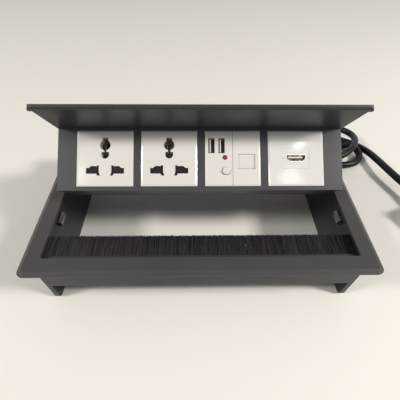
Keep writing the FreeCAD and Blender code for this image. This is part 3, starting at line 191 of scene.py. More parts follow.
class FinishTree(ShaderTree):
    """Node tree of one finish, on Object coordinates in metres."""

    # Cells per metre and stretch of each texture's grain
    GRAIN: dict[Texture, tuple[float, Point]] = {
        Texture.SATIN_ANODISED: (3200.0, (0.35, 1.0, 1.0)),
        Texture.MOULDED: (2600.0, EVEN),
        Texture.POLISHED: (120.0, EVEN),
        Texture.BRUSHED: (5200.0, (0.03, 1.0, 1.0)),
        Texture.PLATED: (1500.0, EVEN),
        Texture.FIBRE: (2300.0, (1.0, 0.02, 1.0)),
        Texture.JACKET: (1400.0, EVEN),
    }
    GRAIN_DETAIL = 3.0
    OCTAVE_WEIGHT = 0.6
    NOISE_RANGE = (0.3, 0.7)
    CLOUD_CELLS, CLOUD_DETAIL = 14.0, 2.0
    STRAND_CELLS, STRAND_DETAIL = 900.0, 4.0
    STRAND_STRETCH: Point = (1.0, 0.004, 1.0)
    WEAR_CELLS = 60.0
    WEAR_STRETCH: Point = (0.4, 1.0, 1.0)
    SMOOTHED, ROUGHENED = 0.88, 1.14
    BUMP_STRENGTH = 0.6
    COAT_ROUGHNESS = 0.08
    # Depth over which the painted depth tone fades in
    PAINTED_DEPTH_FADE = 1.0 * MM

    def __init__(self, finish: Finish) -> None:
        """Starts an empty material for a finish.

        Args:
            finish: the finish to build.
        """
        self.finish = finish
        self.result = bpy.data.materials.new(finish.title)
        self.result.use_nodes = True
        super().__init__(self.result.node_tree)
        self.tree.nodes.clear()

    def noise(self, scale: float, stretch: Point, detail: float = GRAIN_DETAIL) -> bpy.types.NodeSocket:
        """Noise on the piece's own coordinates.

        Args:
            scale: cells per metre.
            stretch: factor on each axis, small along a direction that is drawn out.
            detail: octaves of the noise.

        Returns:
            The noise value's socket.
        """
        place = self.node("TexCoord")
        mapping = self.node("Mapping")
        mapping.inputs["Scale"].default_value = stretch
        noise = self.node("TexNoise")
        noise.inputs["Scale"].default_value = scale
        noise.inputs["Detail"].default_value = detail
        noise.inputs["Roughness"].default_value = self.OCTAVE_WEIGHT
        self.link(place.outputs["Object"], mapping.inputs["Vector"])
        self.link(mapping.outputs["Vector"], noise.inputs["Vector"])
        return noise.outputs["Fac"]

    def spread(
        self, value: bpy.types.NodeSocket, source: tuple[float, float], target: tuple[float, float],
    ) -> bpy.types.NodeSocket:
        """Maps a value from one range to another.

        Args:
            value: the value's socket.
            source: the two ends of its range.
            target: the results at those ends, kept up beyond them.

        Returns:
            The result's socket.
        """
        mapped = self.node("MapRange")
        for slot, number in zip(("From Min", "From Max", "To Min", "To Max"), (*source, *target)):
            mapped.inputs[slot].default_value = number
        self.link(value, mapped.inputs["Value"])
        return mapped.outputs["Result"]

    def tone(self) -> bpy.types.NodeSocket:
        """Value from 0 to 1 by which the colour wanders: slow clouds, or strands on fibres.

        Returns:
            The value's socket.
        """
        if self.finish.texture is Texture.FIBRE:
            noise = self.noise(self.STRAND_CELLS, self.STRAND_STRETCH, self.STRAND_DETAIL)
        else:
            noise = self.noise(self.CLOUD_CELLS, EVEN, self.CLOUD_DETAIL)
        return self.spread(noise, self.NOISE_RANGE, (0.0, 1.0))

    def colour(self) -> bpy.types.NodeSocket:
        """The finish's colour, a little lighter and darker from place to place.

        Returns:
            The colour's socket.
        """
        variation = self.finish.variation
        darker, lighter = (
            tuple(min(channel * factor, 1.0) for channel in self.finish.colour)
            for factor in (1.0 - variation, 1.0 + variation)
        )
        return self.blend((darker, lighter), self.tone())

    def painted_depth_factor(self) -> bpy.types.NodeSocket:
        """Painted depth tone: a factor on the colour that sets in behind the face plates' front.

        It paints shade on the walls of the plates' holes and on the tongues' sides, and paints light into
        the ports' inside.

        Returns:
            The factor's socket.
        """
        front = MODULE.matrix() @ Vector((0.0, PLATE_FRONT, 0.0))
        inward = MODULE.matrix().to_3x3() @ Vector((0.0, 1.0, 0.0))
        place = self.node("TexCoord")
        along = self.node("VectorMath", operation="DOT_PRODUCT")
        along.inputs[1].default_value = inward
        self.link(place.outputs["Object"], along.inputs[0])
        start = front.dot(inward) + self.finish.painted_depth_from
        reach = (start, start + self.PAINTED_DEPTH_FADE)
        return self.spread(along.outputs["Value"], reach, (1.0, self.finish.painted_depth_tone))

    def with_painted_depth_tone(self, colour: bpy.types.NodeSocket) -> bpy.types.NodeSocket:
        """The colour, with painted shade (factor below 1) or painted light (above 1) in deep places where
        the finish asks for it.

        Args:
            colour: the plain colour's socket.

        Returns:
            The socket of the colour to use.
        """
        if self.finish.painted_depth_tone == 1.0:
            return colour
        scale = self.node("VectorMath", operation="SCALE")
        self.link(colour, scale.inputs[0])
        self.link(self.painted_depth_factor(), scale.inputs["Scale"])
        return scale.outputs["Vector"]

    def wear(self) -> bpy.types.NodeSocket:
        """Roughness that touch and handling have changed in patches.

        Returns:
            The roughness's socket.
        """
        middle = self.finish.roughness
        noise = self.noise(self.WEAR_CELLS, self.WEAR_STRETCH)
        return self.spread(noise, self.NOISE_RANGE, (middle * self.SMOOTHED, middle * self.ROUGHENED))

    def relief(self) -> bpy.types.NodeSocket:
        """Normal of the grain on the surface.

        Returns:
            The normal's socket.
        """
        bump = self.node("Bump")
        bump.inputs["Strength"].default_value = self.BUMP_STRENGTH
        bump.inputs["Distance"].default_value = self.finish.relief
        self.link(self.noise(*self.GRAIN[self.finish.texture]), bump.inputs["Height"])
        return bump.outputs["Normal"]

    def build(self) -> bpy.types.Material:
        """Joins colour, roughness and relief in one shader.

        Returns:
            The finished material.
        """
        finish = self.finish
        shader = self.node("BsdfPrincipled")
        shader.inputs["Metallic"].default_value = finish.metallic
        shader.inputs["Specular IOR Level"].default_value = finish.shine
        shader.inputs["Coat Weight"].default_value = finish.coat
        shader.inputs["Coat Roughness"].default_value = self.COAT_ROUGHNESS
        output = self.node("OutputMaterial")
        self.link(shader.outputs["BSDF"], output.inputs["Surface"])
        self.link(self.with_painted_depth_tone(self.colour()), shader.inputs["Base Color"])
        self.link(self.wear(), shader.inputs["Roughness"])
        self.link(self.relief(), shader.inputs["Normal"])
        return self.result


BLACK_ANODISED = Finish(
    "black_anodised", (0.047, 0.043, 0.046), Texture.SATIN_ANODISED, 0.36,
    variation=0.07, relief=8 * MICRON, shine=0.42,
)
# Painted shade: a darker copy of the black anodised finish for the front wall and the lid's rail
SHADED_WALL_ANODISED = Finish(
    "wall_anodised_painted_shade", (0.034, 0.031, 0.033), Texture.SATIN_ANODISED, 0.38,
    variation=0.07, relief=8 * MICRON, shine=0.3,
)
# Painted shade: a darker copy of the black anodised finish for the lid plate, whose underside lies in shade
SHADED_LID_ANODISED = Finish(
    "lid_anodised_painted_shade", (0.0245, 0.021, 0.0265), Texture.SATIN_ANODISED, 0.4,
    variation=0.04, relief=2 * MICRON, shine=0.42,
)
# Painted shade: a darker copy of the black anodised finish for the walls and cheeks inside the box
SHADED_INNER_ANODISED = Finish(
    "inner_anodised_painted_shade", (0.024, 0.022, 0.025), Texture.SATIN_ANODISED, 0.42,
    variation=0.07, relief=8 * MICRON, shine=0.4,
)
# Painted light: a lighter copy of the black anodised finish with less shine, standing in for the flange's
# sheen
LIT_BEZEL_ANODISED = Finish(
    "bezel_anodised_painted_light", (0.060, 0.0545, 0.0565), Texture.SATIN_ANODISED, 0.36,
    variation=0.07, relief=8 * MICRON, shine=0.26,
)
PLAIN_ALUMINIUM = Finish("plain_aluminium", (0.62, 0.62, 0.64), Texture.BRUSHED, 0.34, 0.9, 0.05)
ZINC_STEEL = Finish("zinc_steel", (0.52, 0.52, 0.53), Texture.BRUSHED, 0.3, 1.0, 0.08)
CLIP_STEEL = Finish("clip_steel", (0.44, 0.42, 0.41), Texture.PLATED, 0.24, 1.0, 0.06)
BLACK_NYLON = Finish(
    "black_nylon", (0.03, 0.03, 0.032), Texture.MOULDED, 0.5, variation=0.08, relief=30 * MICRON,
)
BLACK_RUBBER = Finish(
    "black_rubber", (0.025, 0.025, 0.026), Texture.MOULDED, 0.7, variation=0.1, relief=30 * MICRON,
)
CORD_JACKET = Finish(
    "cord_jacket", (0.0045, 0.0042, 0.0045), Texture.JACKET, 0.3,
    variation=0.12, relief=30 * MICRON, shine=0.2,
)
BRISTLE_FIBRE = Finish(
    "bristle_fibre", (0.021, 0.0175, 0.0205), Texture.FIBRE, 0.5, variation=0.3, relief=4 * MICRON,
)
# Beyond 1 mm behind the plates' front, as on the walls of the holes, the colour carries painted shade at
# 0.55
WHITE_MATT = Finish(
    "white_moulding", (0.80, 0.775, 0.732), Texture.MOULDED, 0.14,
    variation=0.012, relief=4 * MICRON, coat=0.3, painted_depth_from=1.0 * MM, painted_depth_tone=0.55,
)
# Beyond 1.5 mm behind the plates' front the tongues' sides carry painted shade, nearly black
WHITE_TONGUE = Finish(
    "white_tongue", (0.90, 0.89, 0.88), Texture.MOULDED, 0.3,
    variation=0.012, relief=6 * MICRON, painted_depth_from=1.5 * MM, painted_depth_tone=0.03,
)
WHITE_GLOSS = Finish(
    "white_gloss", (0.80, 0.78, 0.755), Texture.POLISHED, 0.08,
    variation=0.012, relief=4 * MICRON, coat=0.6,
)
WHITE_BUTTON = Finish(
    "white_button", (0.78, 0.76, 0.735), Texture.MOULDED, 0.3, variation=0.015, relief=4 * MICRON,
)
BUTTON_MARK = Finish(
    "button_mark", (0.42, 0.40, 0.39), Texture.MOULDED, 0.4, variation=0.02, relief=4 * MICRON,
)
DARK_SLIDE = Finish("dark_slide", (0.030, 0.021, 0.025), Texture.MOULDED, 0.45, variation=0.1, shine=0.1)
LAMP_RING = Finish("lamp_ring", (0.022, 0.006, 0.008), Texture.MOULDED, 0.4, variation=0.1, shine=0.3)
# Dark rim; beyond 0.8 mm behind the plates' front the ports' inside is painted light, five times lighter
PORT_STEEL_DEPTH_LIT = Finish(
    "port_steel_painted_light", (0.085, 0.068, 0.066), Texture.PLATED, 0.4, 0.3, 0.08,
    painted_depth_from=0.8 * MM, painted_depth_tone=5.0,
)
IVORY_BODY = Finish("ivory_body", (0.82, 0.74, 0.64), Texture.MOULDED, 0.4, variation=0.03)
SOCKET_BODY = Finish("socket_body", (0.50, 0.39, 0.395), Texture.MOULDED, 0.5, variation=0.1)
CONNECTOR_SHELL = Finish("connector_shell", (0.70, 0.67, 0.63), Texture.PLATED, 0.2, 1.0, 0.08)
SPRING_STEEL = Finish("spring_steel", (0.82, 0.75, 0.66), Texture.PLATED, 0.3, 0.7, 0.08)
BRASS = Finish("contact_brass", (0.62, 0.47, 0.22), Texture.PLATED, 0.28, 1.0, 0.12)
WORN_BRASS = Finish("worn_brass", (0.46, 0.37, 0.31), Texture.PLATED, 0.42, 0.7, 0.15)
GOLD_STRIP = Finish("gold_strip", (0.75, 0.58, 0.28), Texture.PLATED, 0.22, 1.0, 0.05)
BOARD_GREEN = Finish("board_green", (0.03, 0.16, 0.07), Texture.POLISHED, 0.35, variation=0.12)
RED_LENS = Finish("red_lens", (0.25, 0.030, 0.056), Texture.POLISHED, 0.2, variation=0.1)


def dress(piece: bpy.types.Object, finish: Finish) -> bpy.types.Object:
    """Gives a piece one finish all over.

    Args:
        piece: an object with a mesh or curve of its own.
        finish: the finish for it.

    Returns:
        The same piece.
    """
    piece.data.materials.clear()
    piece.data.materials.append(finish.material())
    return piece


# Mesh helpers


def piece_from(name: str, mesh: bmesh.types.BMesh | bpy.types.Mesh) -> bpy.types.Object:
    """Makes a flat-shaded object at the origin from a mesh.

    Args:
        name: the object's name.
        mesh: a bmesh, which is freed, or a finished mesh.

    Returns:
        The object, linked to the scene.
    """
    if isinstance(mesh, bmesh.types.BMesh):
        data = bpy.data.meshes.new(name)
        bmesh.ops.recalc_face_normals(mesh, faces=mesh.faces)
        mesh.to_mesh(data)
        mesh.free()
    else:
        data = mesh
        data.name = name
    data.shade_flat()
    thing = bpy.data.objects.new(name, data)
    bpy.context.scene.collection.objects.link(thing)
    return thing


def plain_mesh(thing: bpy.types.Object) -> bpy.types.Mesh:
    """The mesh that an object's modifiers give, on its own.

    Args:
        thing: the object with the modifiers.

    Returns:
        A new mesh.
    """
    depsgraph = bpy.context.evaluated_depsgraph_get()
    depsgraph.update()
    return bpy.data.meshes.new_from_object(thing.evaluated_get(depsgraph), depsgraph=depsgraph)


def ring_of(shape: bmesh.types.BMesh, radius: float, depth: float, sides: int) -> list[bmesh.types.BMVert]:
    """A ring of vertices round the Y axis at one depth.

    Args:
        shape: the shape that takes them.
        radius: the ring's radius.
        depth: its place along Y.
        sides: vertices in the ring.

    Returns:
        The vertices in order.
    """
    turns = [k * math.tau / sides for k in range(sides)]
    return [shape.verts.new((radius * math.cos(turn), depth, radius * math.sin(turn))) for turn in turns]


def turned(profile: list[tuple[float, float]], sides: int = 48, ring: bool = False) -> bmesh.types.BMesh:
    """A solid of revolution round the Y axis.

    Args:
        profile: radius and depth of each ring, in order; a zero radius closes an end.
        sides: steps round the axis.
        ring: True to join the last ring to the first, as a hollow ring needs.

    Returns:
        The new shape.
    """
    shape = bmesh.new()
    rings = []
    for radius, depth in profile:
        if radius <= 0:
            rings.append([shape.verts.new((0.0, depth, 0.0))])
        else:
            rings.append(ring_of(shape, radius, depth, sides))
    for one, other in zip(rings, rings[1:] + rings[:1] if ring else rings[1:]):
        for k in range(sides):
            after = (k + 1) % sides
            corners = [
                one[k % len(one)], one[after % len(one)], other[after % len(other)], other[k % len(other)],
            ]
            shape.faces.new(list(dict.fromkeys(corners)))
    return shape


# Mains lead


@dataclass
class MainsLead:
    """The lead from the gland on the rear wall, over and round the loops at the right, to its plug."""

    diameter: float = 8.0 * MM
    length: float = 1.40
    body: str = "frame"
    order: int = 3
    steps: int = 10
    roundness: int = 5
    # Control points in millimetres
    route: tuple[Point, ...] = (
        (-42, 93.3, 39), (-42, 108, 38.5), (-27, 138, 36.5), (8, 162, 33), (48, 177, 29),
        (105, 185, 22.5), (148, 176, 17), (177, 162, 13.5), (194.5, 155, 12.5), (204, 142.5, 13.8),
        (201.5, 124.5, 17.2), (191.5, 108, 18.5), (172, 95, 14.5), (143, 86, 12.5), (104, 84, 8),
        (62, 84, 5), (22, 84, 4), (-15.7, 85, 4), (-38, 107, 4), (-38, 138, 5),
        (-15, 160, 8), (18, 161, 12.5), (54, 154, 14), (92, 139, 13), (130, 125, 10),
        (158, 119.5, 6.5), (175, 122.3, 5.5), (188, 127.5, 6.5), (199, 126.5, 8), (205.5, 117, 7.8),
        (204, 104, 5.3), (194.5, 95.2, 4), (176, 92.5, 4), (146, 95.5, 4), (104, 96.5, 4),
        (66, 96, 4), (38, 105, 4), (25, 126, 4), (31, 152, 4), (54, 170, 4),
        (92, 178, 4), (144, 173, 4), (169, 158.5, 4), (187, 146, 4), (206.5, 134, 4.3),
        (217, 115.5, 7.5), (220, 95, 11), (224, 74, 13), (231, 54, 13), (238.5, 35, 13),
    )

    def build(self) -> list[bpy.types.Object]:
        """Returns:
            The cord's curve object, alone.
        """
        curve = bpy.data.curves.new("mains_lead", "CURVE")
        curve.dimensions = "3D"
        line = curve.splines.new("NURBS")
        line.points.add(len(self.route) - 1)
        for point, place in zip(line.points, self.route):
            point.co = (*[value * MM for value in place], 1.0)
        line.order_u = self.order
        line.use_endpoint_u = True
        line.resolution_u = self.steps
        curve.bevel_depth = self.diameter / 2
        curve.bevel_resolution = self.roundness
        curve.use_fill_caps = True
        cord = bpy.data.objects.new("mains_lead", curve)
        bpy.context.scene.collection.objects.link(cord)
        dress(cord, CORD_JACKET)
        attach(cord, self.body)
        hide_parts("lead_run", "lead_loops", "lead_tail")
        return [cord]


# Shapes that repeat


class ShapeTree(NodeTree):
    """A geometry node tree with named inputs, whose result is turned into a plain mesh."""

    def __init__(self, name: str) -> None:
        """Starts an empty tree with a geometry output.

        Args:
            name: the tree's name.
        """
        super().__init__(bpy.data.node_groups.new(name, "GeometryNodeTree"))
        self.tree.interface.new_socket("Geometry", in_out="OUTPUT", socket_type="NodeSocketGeometry")
        self.values: dict[str, float | int] = {}
        self.entry = self.node("NodeGroupInput")
        self.exit = self.node("NodeGroupOutput")

    def size(self, name: str, value: float | int) -> bpy.types.NodeSocket:
        """Adds a named input with its value.

        Args:
            name: the input's name.
            value: a whole number or a length.

        Returns:
            The socket that carries it in the tree.
        """
        kind = "NodeSocketInt" if isinstance(value, int) else "NodeSocketFloat"
        self.tree.interface.new_socket(name, in_out="INPUT", socket_type=kind)
        self.values[name] = value
        return self.entry.outputs[name]

    def vector(self, x: object = 0.0, y: object = 0.0, z: object = 0.0) -> bpy.types.NodeSocket:
        """A vector from numbers or sockets.

        Args:
            x: its first part.
            y: its second part.
            z: its third part.

        Returns:
            The vector's socket.
        """
        made = self.node("ShaderNodeCombineXYZ")
        for slot, value in zip(made.inputs, (x, y, z)):
            if isinstance(value, (int, float)):
                slot.default_value = value
            else:
                self.link(value, slot)
        return made.outputs[0]

    def times(self, value: bpy.types.NodeSocket, factor: float) -> bpy.types.NodeSocket:
        """A length made longer, shorter or negative.

        Args:
            value: the length's socket.
            factor: what it is multiplied by.

        Returns:
            The result's socket.
        """
        made = self.node("ShaderNodeMath", operation="MULTIPLY")
        made.inputs[1].default_value = factor
        self.link(value, made.inputs[0])
        return made.outputs[0]

    def random(self, limits: tuple[Point, Point], seed: int) -> bpy.types.NodeSocket:
        """A random vector for each point, with a fixed seed.

        Args:
            limits: the lowest and the highest vector.
            seed: the seed.

        Returns:
            The vector's socket.
        """
        made = self.node("FunctionNodeRandomValue", data_type="FLOAT_VECTOR")
        made.inputs[0].default_value, made.inputs[1].default_value = limits
        made.inputs["Seed"].default_value = seed
        return made.outputs[0]

    def finish(self, geometry: bpy.types.NodeSocket, finish: Finish, name: str) -> bpy.types.Object:
        """Ends the tree and turns its result into a piece.

        Args:
            geometry: the instances to realize.
            finish: the material for all of it.
            name: the new object's name.

        Returns:
            A plain mesh object at the origin.
        """
        realize = self.node("GeometryNodeRealizeInstances")
        paint = self.node("GeometryNodeSetMaterial")
        paint.inputs["Material"].default_value = finish.material()
        self.link(geometry, realize.inputs[0])
        self.link(realize.outputs[0], paint.inputs["Geometry"])
        self.link(paint.outputs[0], self.exit.inputs["Geometry"])
        carrier = bpy.data.objects.new(name + "_carrier", bpy.data.meshes.new(name + "_carrier"))
        bpy.context.scene.collection.objects.link(carrier)
        modifier = carrier.modifiers.new("shape", "NODES")
        modifier.node_group = self.tree
        for item in self.tree.interface.items_tree:
            if item.in_out == "INPUT" and item.name in self.values:
                modifier[item.identifier] = self.values[item.name]
        mesh = plain_mesh(carrier)
        bpy.data.objects.remove(carrier)
        return piece_from(name, mesh)


# Cable brush


@dataclass
class CableBrush:
    """Bristles that stand out of the holder on the front wall towards the module."""

    half_width: float = 120.4 * MM
    root_y: float = -66.3 * MM
    tip_y: float = -42.9 * MM
    middle_z: float = 51.5 * MM
    thickness: float = 2.5 * MM
    columns: int = 860
    rows: int = 7
    bristle: float = 0.17 * MM
    bristle_sides: int = 3
    bend_steps: int = 3
    bend_at: float = 0.55
    droop: float = -0.2 * MM
    # Lowest and highest shift of a root, turn of a bristle in radians, and growth of it
    shake: tuple[Point, Point] = ((-0.12 * MM, 0.0, -0.14 * MM), (0.12 * MM, 0.4 * MM, 0.14 * MM))
    lean: tuple[Point, Point] = ((-0.02, -0.5, -0.045), (0.012, 0.5, 0.045))
    growth: tuple[Point, Point] = ((0.8, 0.965, 0.8), (1.2, 1.0, 1.2))
    seed: int = 11

    def roots(self, tree: ShapeTree) -> bpy.types.NodeSocket:
        """The points where bristles stand: a grid turned upright and shaken.

        Args:
            tree: the tree that takes the nodes.

        Returns:
            The points' socket.
        """
        grid = tree.node("GeometryNodeMeshGrid")
        for name, value, slot in (
            ("Width", self.half_width * 2, "Size X"), ("Thickness", self.thickness, "Size Y"),
            ("Columns", self.columns, "Vertices X"), ("Rows", self.rows, "Vertices Y"),
        ):
            tree.link(tree.size(name, value), grid.inputs[slot])
        points = tree.node("GeometryNodeMeshToPoints")
        tree.link(grid.outputs[0], points.inputs["Mesh"])
        stand = tree.node("GeometryNodeTransform")
        stand.inputs["Rotation"].default_value = (math.radians(90), 0.0, 0.0)
        tree.link(points.outputs[0], stand.inputs["Geometry"])
        shake = tree.node("GeometryNodeSetPosition")
        tree.link(stand.outputs[0], shake.inputs["Geometry"])
        tree.link(tree.random(self.shake, self.seed), shake.inputs["Offset"])
        return shake.outputs[0]

    def strand(self, tree: ShapeTree) -> bpy.types.NodeSocket:
        """One bristle from the origin along Y, slightly bent.

        Args:
            tree: the tree that takes the nodes.

        Returns:
            The bristle's socket.
        """
        reach = tree.size("Reach", self.tip_y - self.root_y)
        radius = tree.size("Bristle radius", self.bristle)
        droop = tree.size("Droop", self.droop)
        line = tree.node("GeometryNodeCurveQuadraticBezier")
        line.inputs["Resolution"].default_value = self.bend_steps
        tree.link(tree.vector(0.0, 0.0, 0.0), line.inputs["Start"])
        tree.link(tree.vector(0.0, tree.times(reach, self.bend_at), 0.0), line.inputs["Middle"])
        tree.link(tree.vector(0.0, reach, tree.times(droop, -1.0)), line.inputs["End"])
        section = tree.node("GeometryNodeCurvePrimitiveCircle")
        section.inputs["Resolution"].default_value = self.bristle_sides
        tree.link(radius, section.inputs["Radius"])
        sweep = tree.node("GeometryNodeCurveToMesh")
        sweep.inputs["Fill Caps"].default_value = True
        tree.link(line.outputs[0], sweep.inputs["Curve"])
        tree.link(section.outputs[0], sweep.inputs["Profile Curve"])
        return sweep.outputs[0]

    def build(self) -> list[bpy.types.Object]:
        """Builds the bristles in place of the plain slab.

        Returns:
            The brush as one mesh.
        """
        tree = ShapeTree("bristle_field")
        plant = tree.node("GeometryNodeInstanceOnPoints")
        tree.link(self.roots(tree), plant.inputs["Points"])
        tree.link(self.strand(tree), plant.inputs["Instance"])
        tree.link(tree.random(self.lean, self.seed + 1), plant.inputs["Rotation"])
        tree.link(tree.random(self.growth, self.seed + 2), plant.inputs["Scale"])
        place = tree.node("GeometryNodeTransform")
        place.inputs["Translation"].default_value = (0.0, self.root_y, self.middle_z)
        tree.link(plant.outputs[0], place.inputs["Geometry"])
        brush = tree.finish(place.outputs[0], BRISTLE_FIBRE, "cable_brush")
        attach(brush, "frame")
        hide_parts("brush_bristles")
        return [brush]


# Small parts in the outlets


@dataclass
class ContactStrips:
    """A row of flat gold contacts on the module.

    Attributes:
        name: the piece's name.
        start: middle of the first strip, with the module shut and its hinge axis at the origin.
        step: way from one strip to the next.
        count: number of strips.
        size: a strip's size along X, Y and Z.
    """

    name: str
    start: Point
    step: Point
    count: int
    size: Point
    body: str = "module"

    def build(self) -> bpy.types.Object:
        """Builds the row, turned open with the module.

        Returns:
            The strips as one mesh.
        """
        tree = ShapeTree(self.name + "_row")
        row = tree.node("GeometryNodeMeshLine")
        tree.link(tree.size("Count", self.count), row.inputs["Count"])
        row.inputs["Start Location"].default_value = self.start
        row.inputs["Offset"].default_value = self.step
        strip = tree.node("GeometryNodeMeshCube")
        sides = [tree.size(name, value) for name, value in zip(("Wide", "Long", "Thick"), self.size)]
        tree.link(tree.vector(*sides), strip.inputs["Size"])
        plant = tree.node("GeometryNodeInstanceOnPoints")
        tree.link(row.outputs[0], plant.inputs["Points"])
        tree.link(strip.outputs[0], plant.inputs["Instance"])
        strips = tree.finish(plant.outputs[0], GOLD_STRIP, self.name)
        strips.data.transform(MODULE.matrix())
        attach(strips, self.body)
        return strips


@dataclass
class UsbOutlet:
    """Small parts of the charger's half plate.

    They are the contacts and white tips in its ports, the lamp's ring and the button's mark.
    """

    x: float = 14.35 * MM
    ports: tuple[float, float] = (-5.9 * MM, 2.3 * MM)
    port_z: float = PLATE_CENTRE + 10.3 * MM
    contact_side: float = 0.505 * MM
    contact_depth: float = 5.8 * MM
    contact_low: float = 3.5 * MM
    contact_pitch: float = 2.33 * MM
    contact_count: int = 4
    contact: Point = (0.06 * MM, 6.5 * MM, 1.0 * MM)
    tip_side: float = 0.975 * MM
    tip_depth: float = 1.6 * MM
    tip: Point = (0.9 * MM, 0.9 * MM, 10.6 * MM)
    lamp: tuple[float, float] = (4.9 * MM, 0.6 * MM)
    lamp_radius: float = 1.6 * MM
    collar_wall: float = 0.34 * MM
    collar_proud: float = 0.12 * MM
    collar_roots: tuple[float, float] = (0.4 * MM, 0.05 * MM)
    button: tuple[float, float] = (5.9 * MM, -10.2 * MM)
    button_proud: float = 1.7 * MM
    mark_radii: tuple[float, float] = (0.3 * MM, 0.5 * MM)
    mark_heights: tuple[float, float] = (0.14 * MM, 0.12 * MM)
    mark_root: float = 0.1 * MM
    mark_sides: int = 24

    def contacts(self) -> list[bpy.types.Object]:
        """Strips on each port's carrier.

        Returns:
            One row for each port.
        """
        rows = []
        for number, port in enumerate(self.ports, start=1):
            place = (
                self.x + port - self.contact_side, PLATE_FRONT + self.contact_depth,
                self.port_z - self.contact_low,
            )
            step = (0.0, 0.0, self.contact_pitch)
            name = f"usb_contacts_{number}"
            rows.append(ContactStrips(name, place, step, self.contact_count, self.contact).build())
        return rows

    def tips(self) -> bpy.types.Object:
        """White tips in front of the two contact carriers.

        Returns:
            Both tips as one mesh.
        """
        shape = bmesh.new()
        for port in self.ports:
            centre = Vector((self.x + port - self.tip_side, PLATE_FRONT + self.tip_depth, self.port_z))
            made = bmesh.ops.create_cube(shape, size=1.0)
            bmesh.ops.scale(shape, vec=self.tip, verts=made["verts"])
            bmesh.ops.translate(shape, vec=centre, verts=made["verts"])
        shape.transform(MODULE.matrix())
        tips = dress(piece_from("usb_tongue_tips", shape), WHITE_TONGUE)
        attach(tips, "module")
        return tips

    def collar(self) -> bpy.types.Object:
        """Dark ring round the lamp's lens.

        Returns:
            The ring.
        """
        inner, outer = self.lamp_radius, self.lamp_radius + self.collar_wall
        out = PLATE_FRONT - self.collar_proud
        inner_root, outer_root = (PLATE_FRONT + depth for depth in self.collar_roots)
        shape = turned([(inner, inner_root), (inner, out), (outer, out), (outer, outer_root)], ring=True)
        place = Matrix.Translation((self.x + self.lamp[0], 0.0, PLATE_CENTRE + self.lamp[1]))
        shape.transform(MODULE.matrix() @ place)
        ring = dress(piece_from("lamp_collar", shape), LAMP_RING)
        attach(ring, "module")
        return ring

    def mark(self) -> bpy.types.Object:
        """Small pip in the middle of the button, which moves with it.

        Returns:
            The pip.
        """
        face = PLATE_FRONT - self.button_proud
        back = face + self.mark_root
        (inner, outer), (crown, shoulder) = self.mark_radii, self.mark_heights
        profile = [(0.0, face - crown), (inner, face - shoulder), (outer, back), (0.0, back)]
        shape = turned(profile, self.mark_sides)
        place = Matrix.Translation((self.x + self.button[0], 0.0, PLATE_CENTRE + self.button[1]))
        shape.transform(MODULE.matrix() @ place)
        pip = dress(piece_from("button_mark", shape), BUTTON_MARK)
        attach(pip, "usb_button")
        return pip

    def build(self) -> list[bpy.types.Object]:
        """Builds all the small parts."""
        return [*self.contacts(), self.tips(), self.collar(), self.mark()]


@dataclass
class VideoOutlet:
    """Leaf springs inside the connector's shell and contacts on its tongue."""

    x: float = 76.8 * MM
    z: float = PLATE_CENTRE
    springs: tuple[float, float] = (-4.0 * MM, 3.6 * MM)
    spring_start: float = 0.9 * MM
    spring_wide: float = 1.7 * MM
    spring_thick: float = 0.15 * MM
    spring_long: float = 6.5 * MM
    spring_gap: float = 0.02 * MM
    spring_steps: int = 8
    bows: tuple[float, float] = (0.5 * MM, 1.7 * MM)
    top: float = 2.3 * MM
    low: float = -2.3 * MM
    contact_first: float = 4.5 * MM
    contact_depth: float = 5.4 * MM
    contact_up: float = 1.52 * MM
    contact_pitch: float = 1.0 * MM
    contact_count: int = 10
    contact: Point = (0.45 * MM, 7.0 * MM, 0.06 * MM)

    def spring(self, shape: bmesh.types.BMesh, x: float, wall: float, bow: float) -> None:
        """Adds one bowed leaf to a shape.

        Args:
            shape: the shape that takes it.
            x: its middle across the connector.
            wall: height of the shell's inner wall.
            bow: how far it stands off the wall at its middle, negative downwards.
        """
        rows, inward, half = [], math.copysign(1.0, bow), self.spring_wide / 2
        for k in range(self.spring_steps + 1):
            along = k / self.spring_steps
            depth = PLATE_FRONT + self.spring_start + self.spring_long * along
            height = wall + inward * self.spring_gap + bow * math.sin(math.pi * along)
            section = ((-half, 0.0), (half, 0.0), (half, self.spring_thick), (-half, self.spring_thick))
            rows.append([shape.verts.new((x + dx, depth, height + inward * dz)) for dx, dz in section])
        for one, other in zip(rows, rows[1:]):
            for k in range(len(one)):
                after = (k + 1) % len(one)
                shape.faces.new([one[k], one[after], other[after], other[k]])
        shape.faces.new(rows[0])
        shape.faces.new(rows[-1])

    def build(self) -> list[bpy.types.Object]:
        """Builds the springs, and the contacts as a row.

        Returns:
            The springs as one mesh and the contacts.
        """
        shape = bmesh.new()
        for x in self.springs:
            self.spring(shape, x, self.top, -self.bows[0])
            self.spring(shape, x, self.low, self.bows[1])
        shape.transform(MODULE.matrix() @ Matrix.Translation((self.x, 0.0, self.z)))
        leaves = dress(piece_from("video_springs", shape), SPRING_STEEL)
        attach(leaves, "module")
        place = (self.x - self.contact_first, PLATE_FRONT + self.contact_depth, self.z + self.contact_up)
        step = (self.contact_pitch, 0.0, 0.0)
        row = ContactStrips("video_contacts", place, step, self.contact_count, self.contact)
        return [leaves, row.build()]


@dataclass
class DataOutlet:
    """Eight spring contacts in the jack behind the shutter."""

    x: float = 36.85 * MM
    z: float = PLATE_CENTRE - 2.75 * MM
    contact_first: float = 3.57 * MM
    contact_depth: float = 9.0 * MM
    contact_up: float = 2.2 * MM
    contact_pitch: float = 1.02 * MM
    contact_count: int = 8
    contact: Point = (0.35 * MM, 9.0 * MM, 0.35 * MM)

    def build(self) -> list[bpy.types.Object]:
        """Builds the row of contacts.

        Returns:
            The contacts as one mesh.
        """
        place = (self.x - self.contact_first, PLATE_FRONT + self.contact_depth, self.z + self.contact_up)
        step = (self.contact_pitch, 0.0, 0.0)
        return [ContactStrips("data_contacts", place, step, self.contact_count, self.contact).build()]


# Carried-over nodes


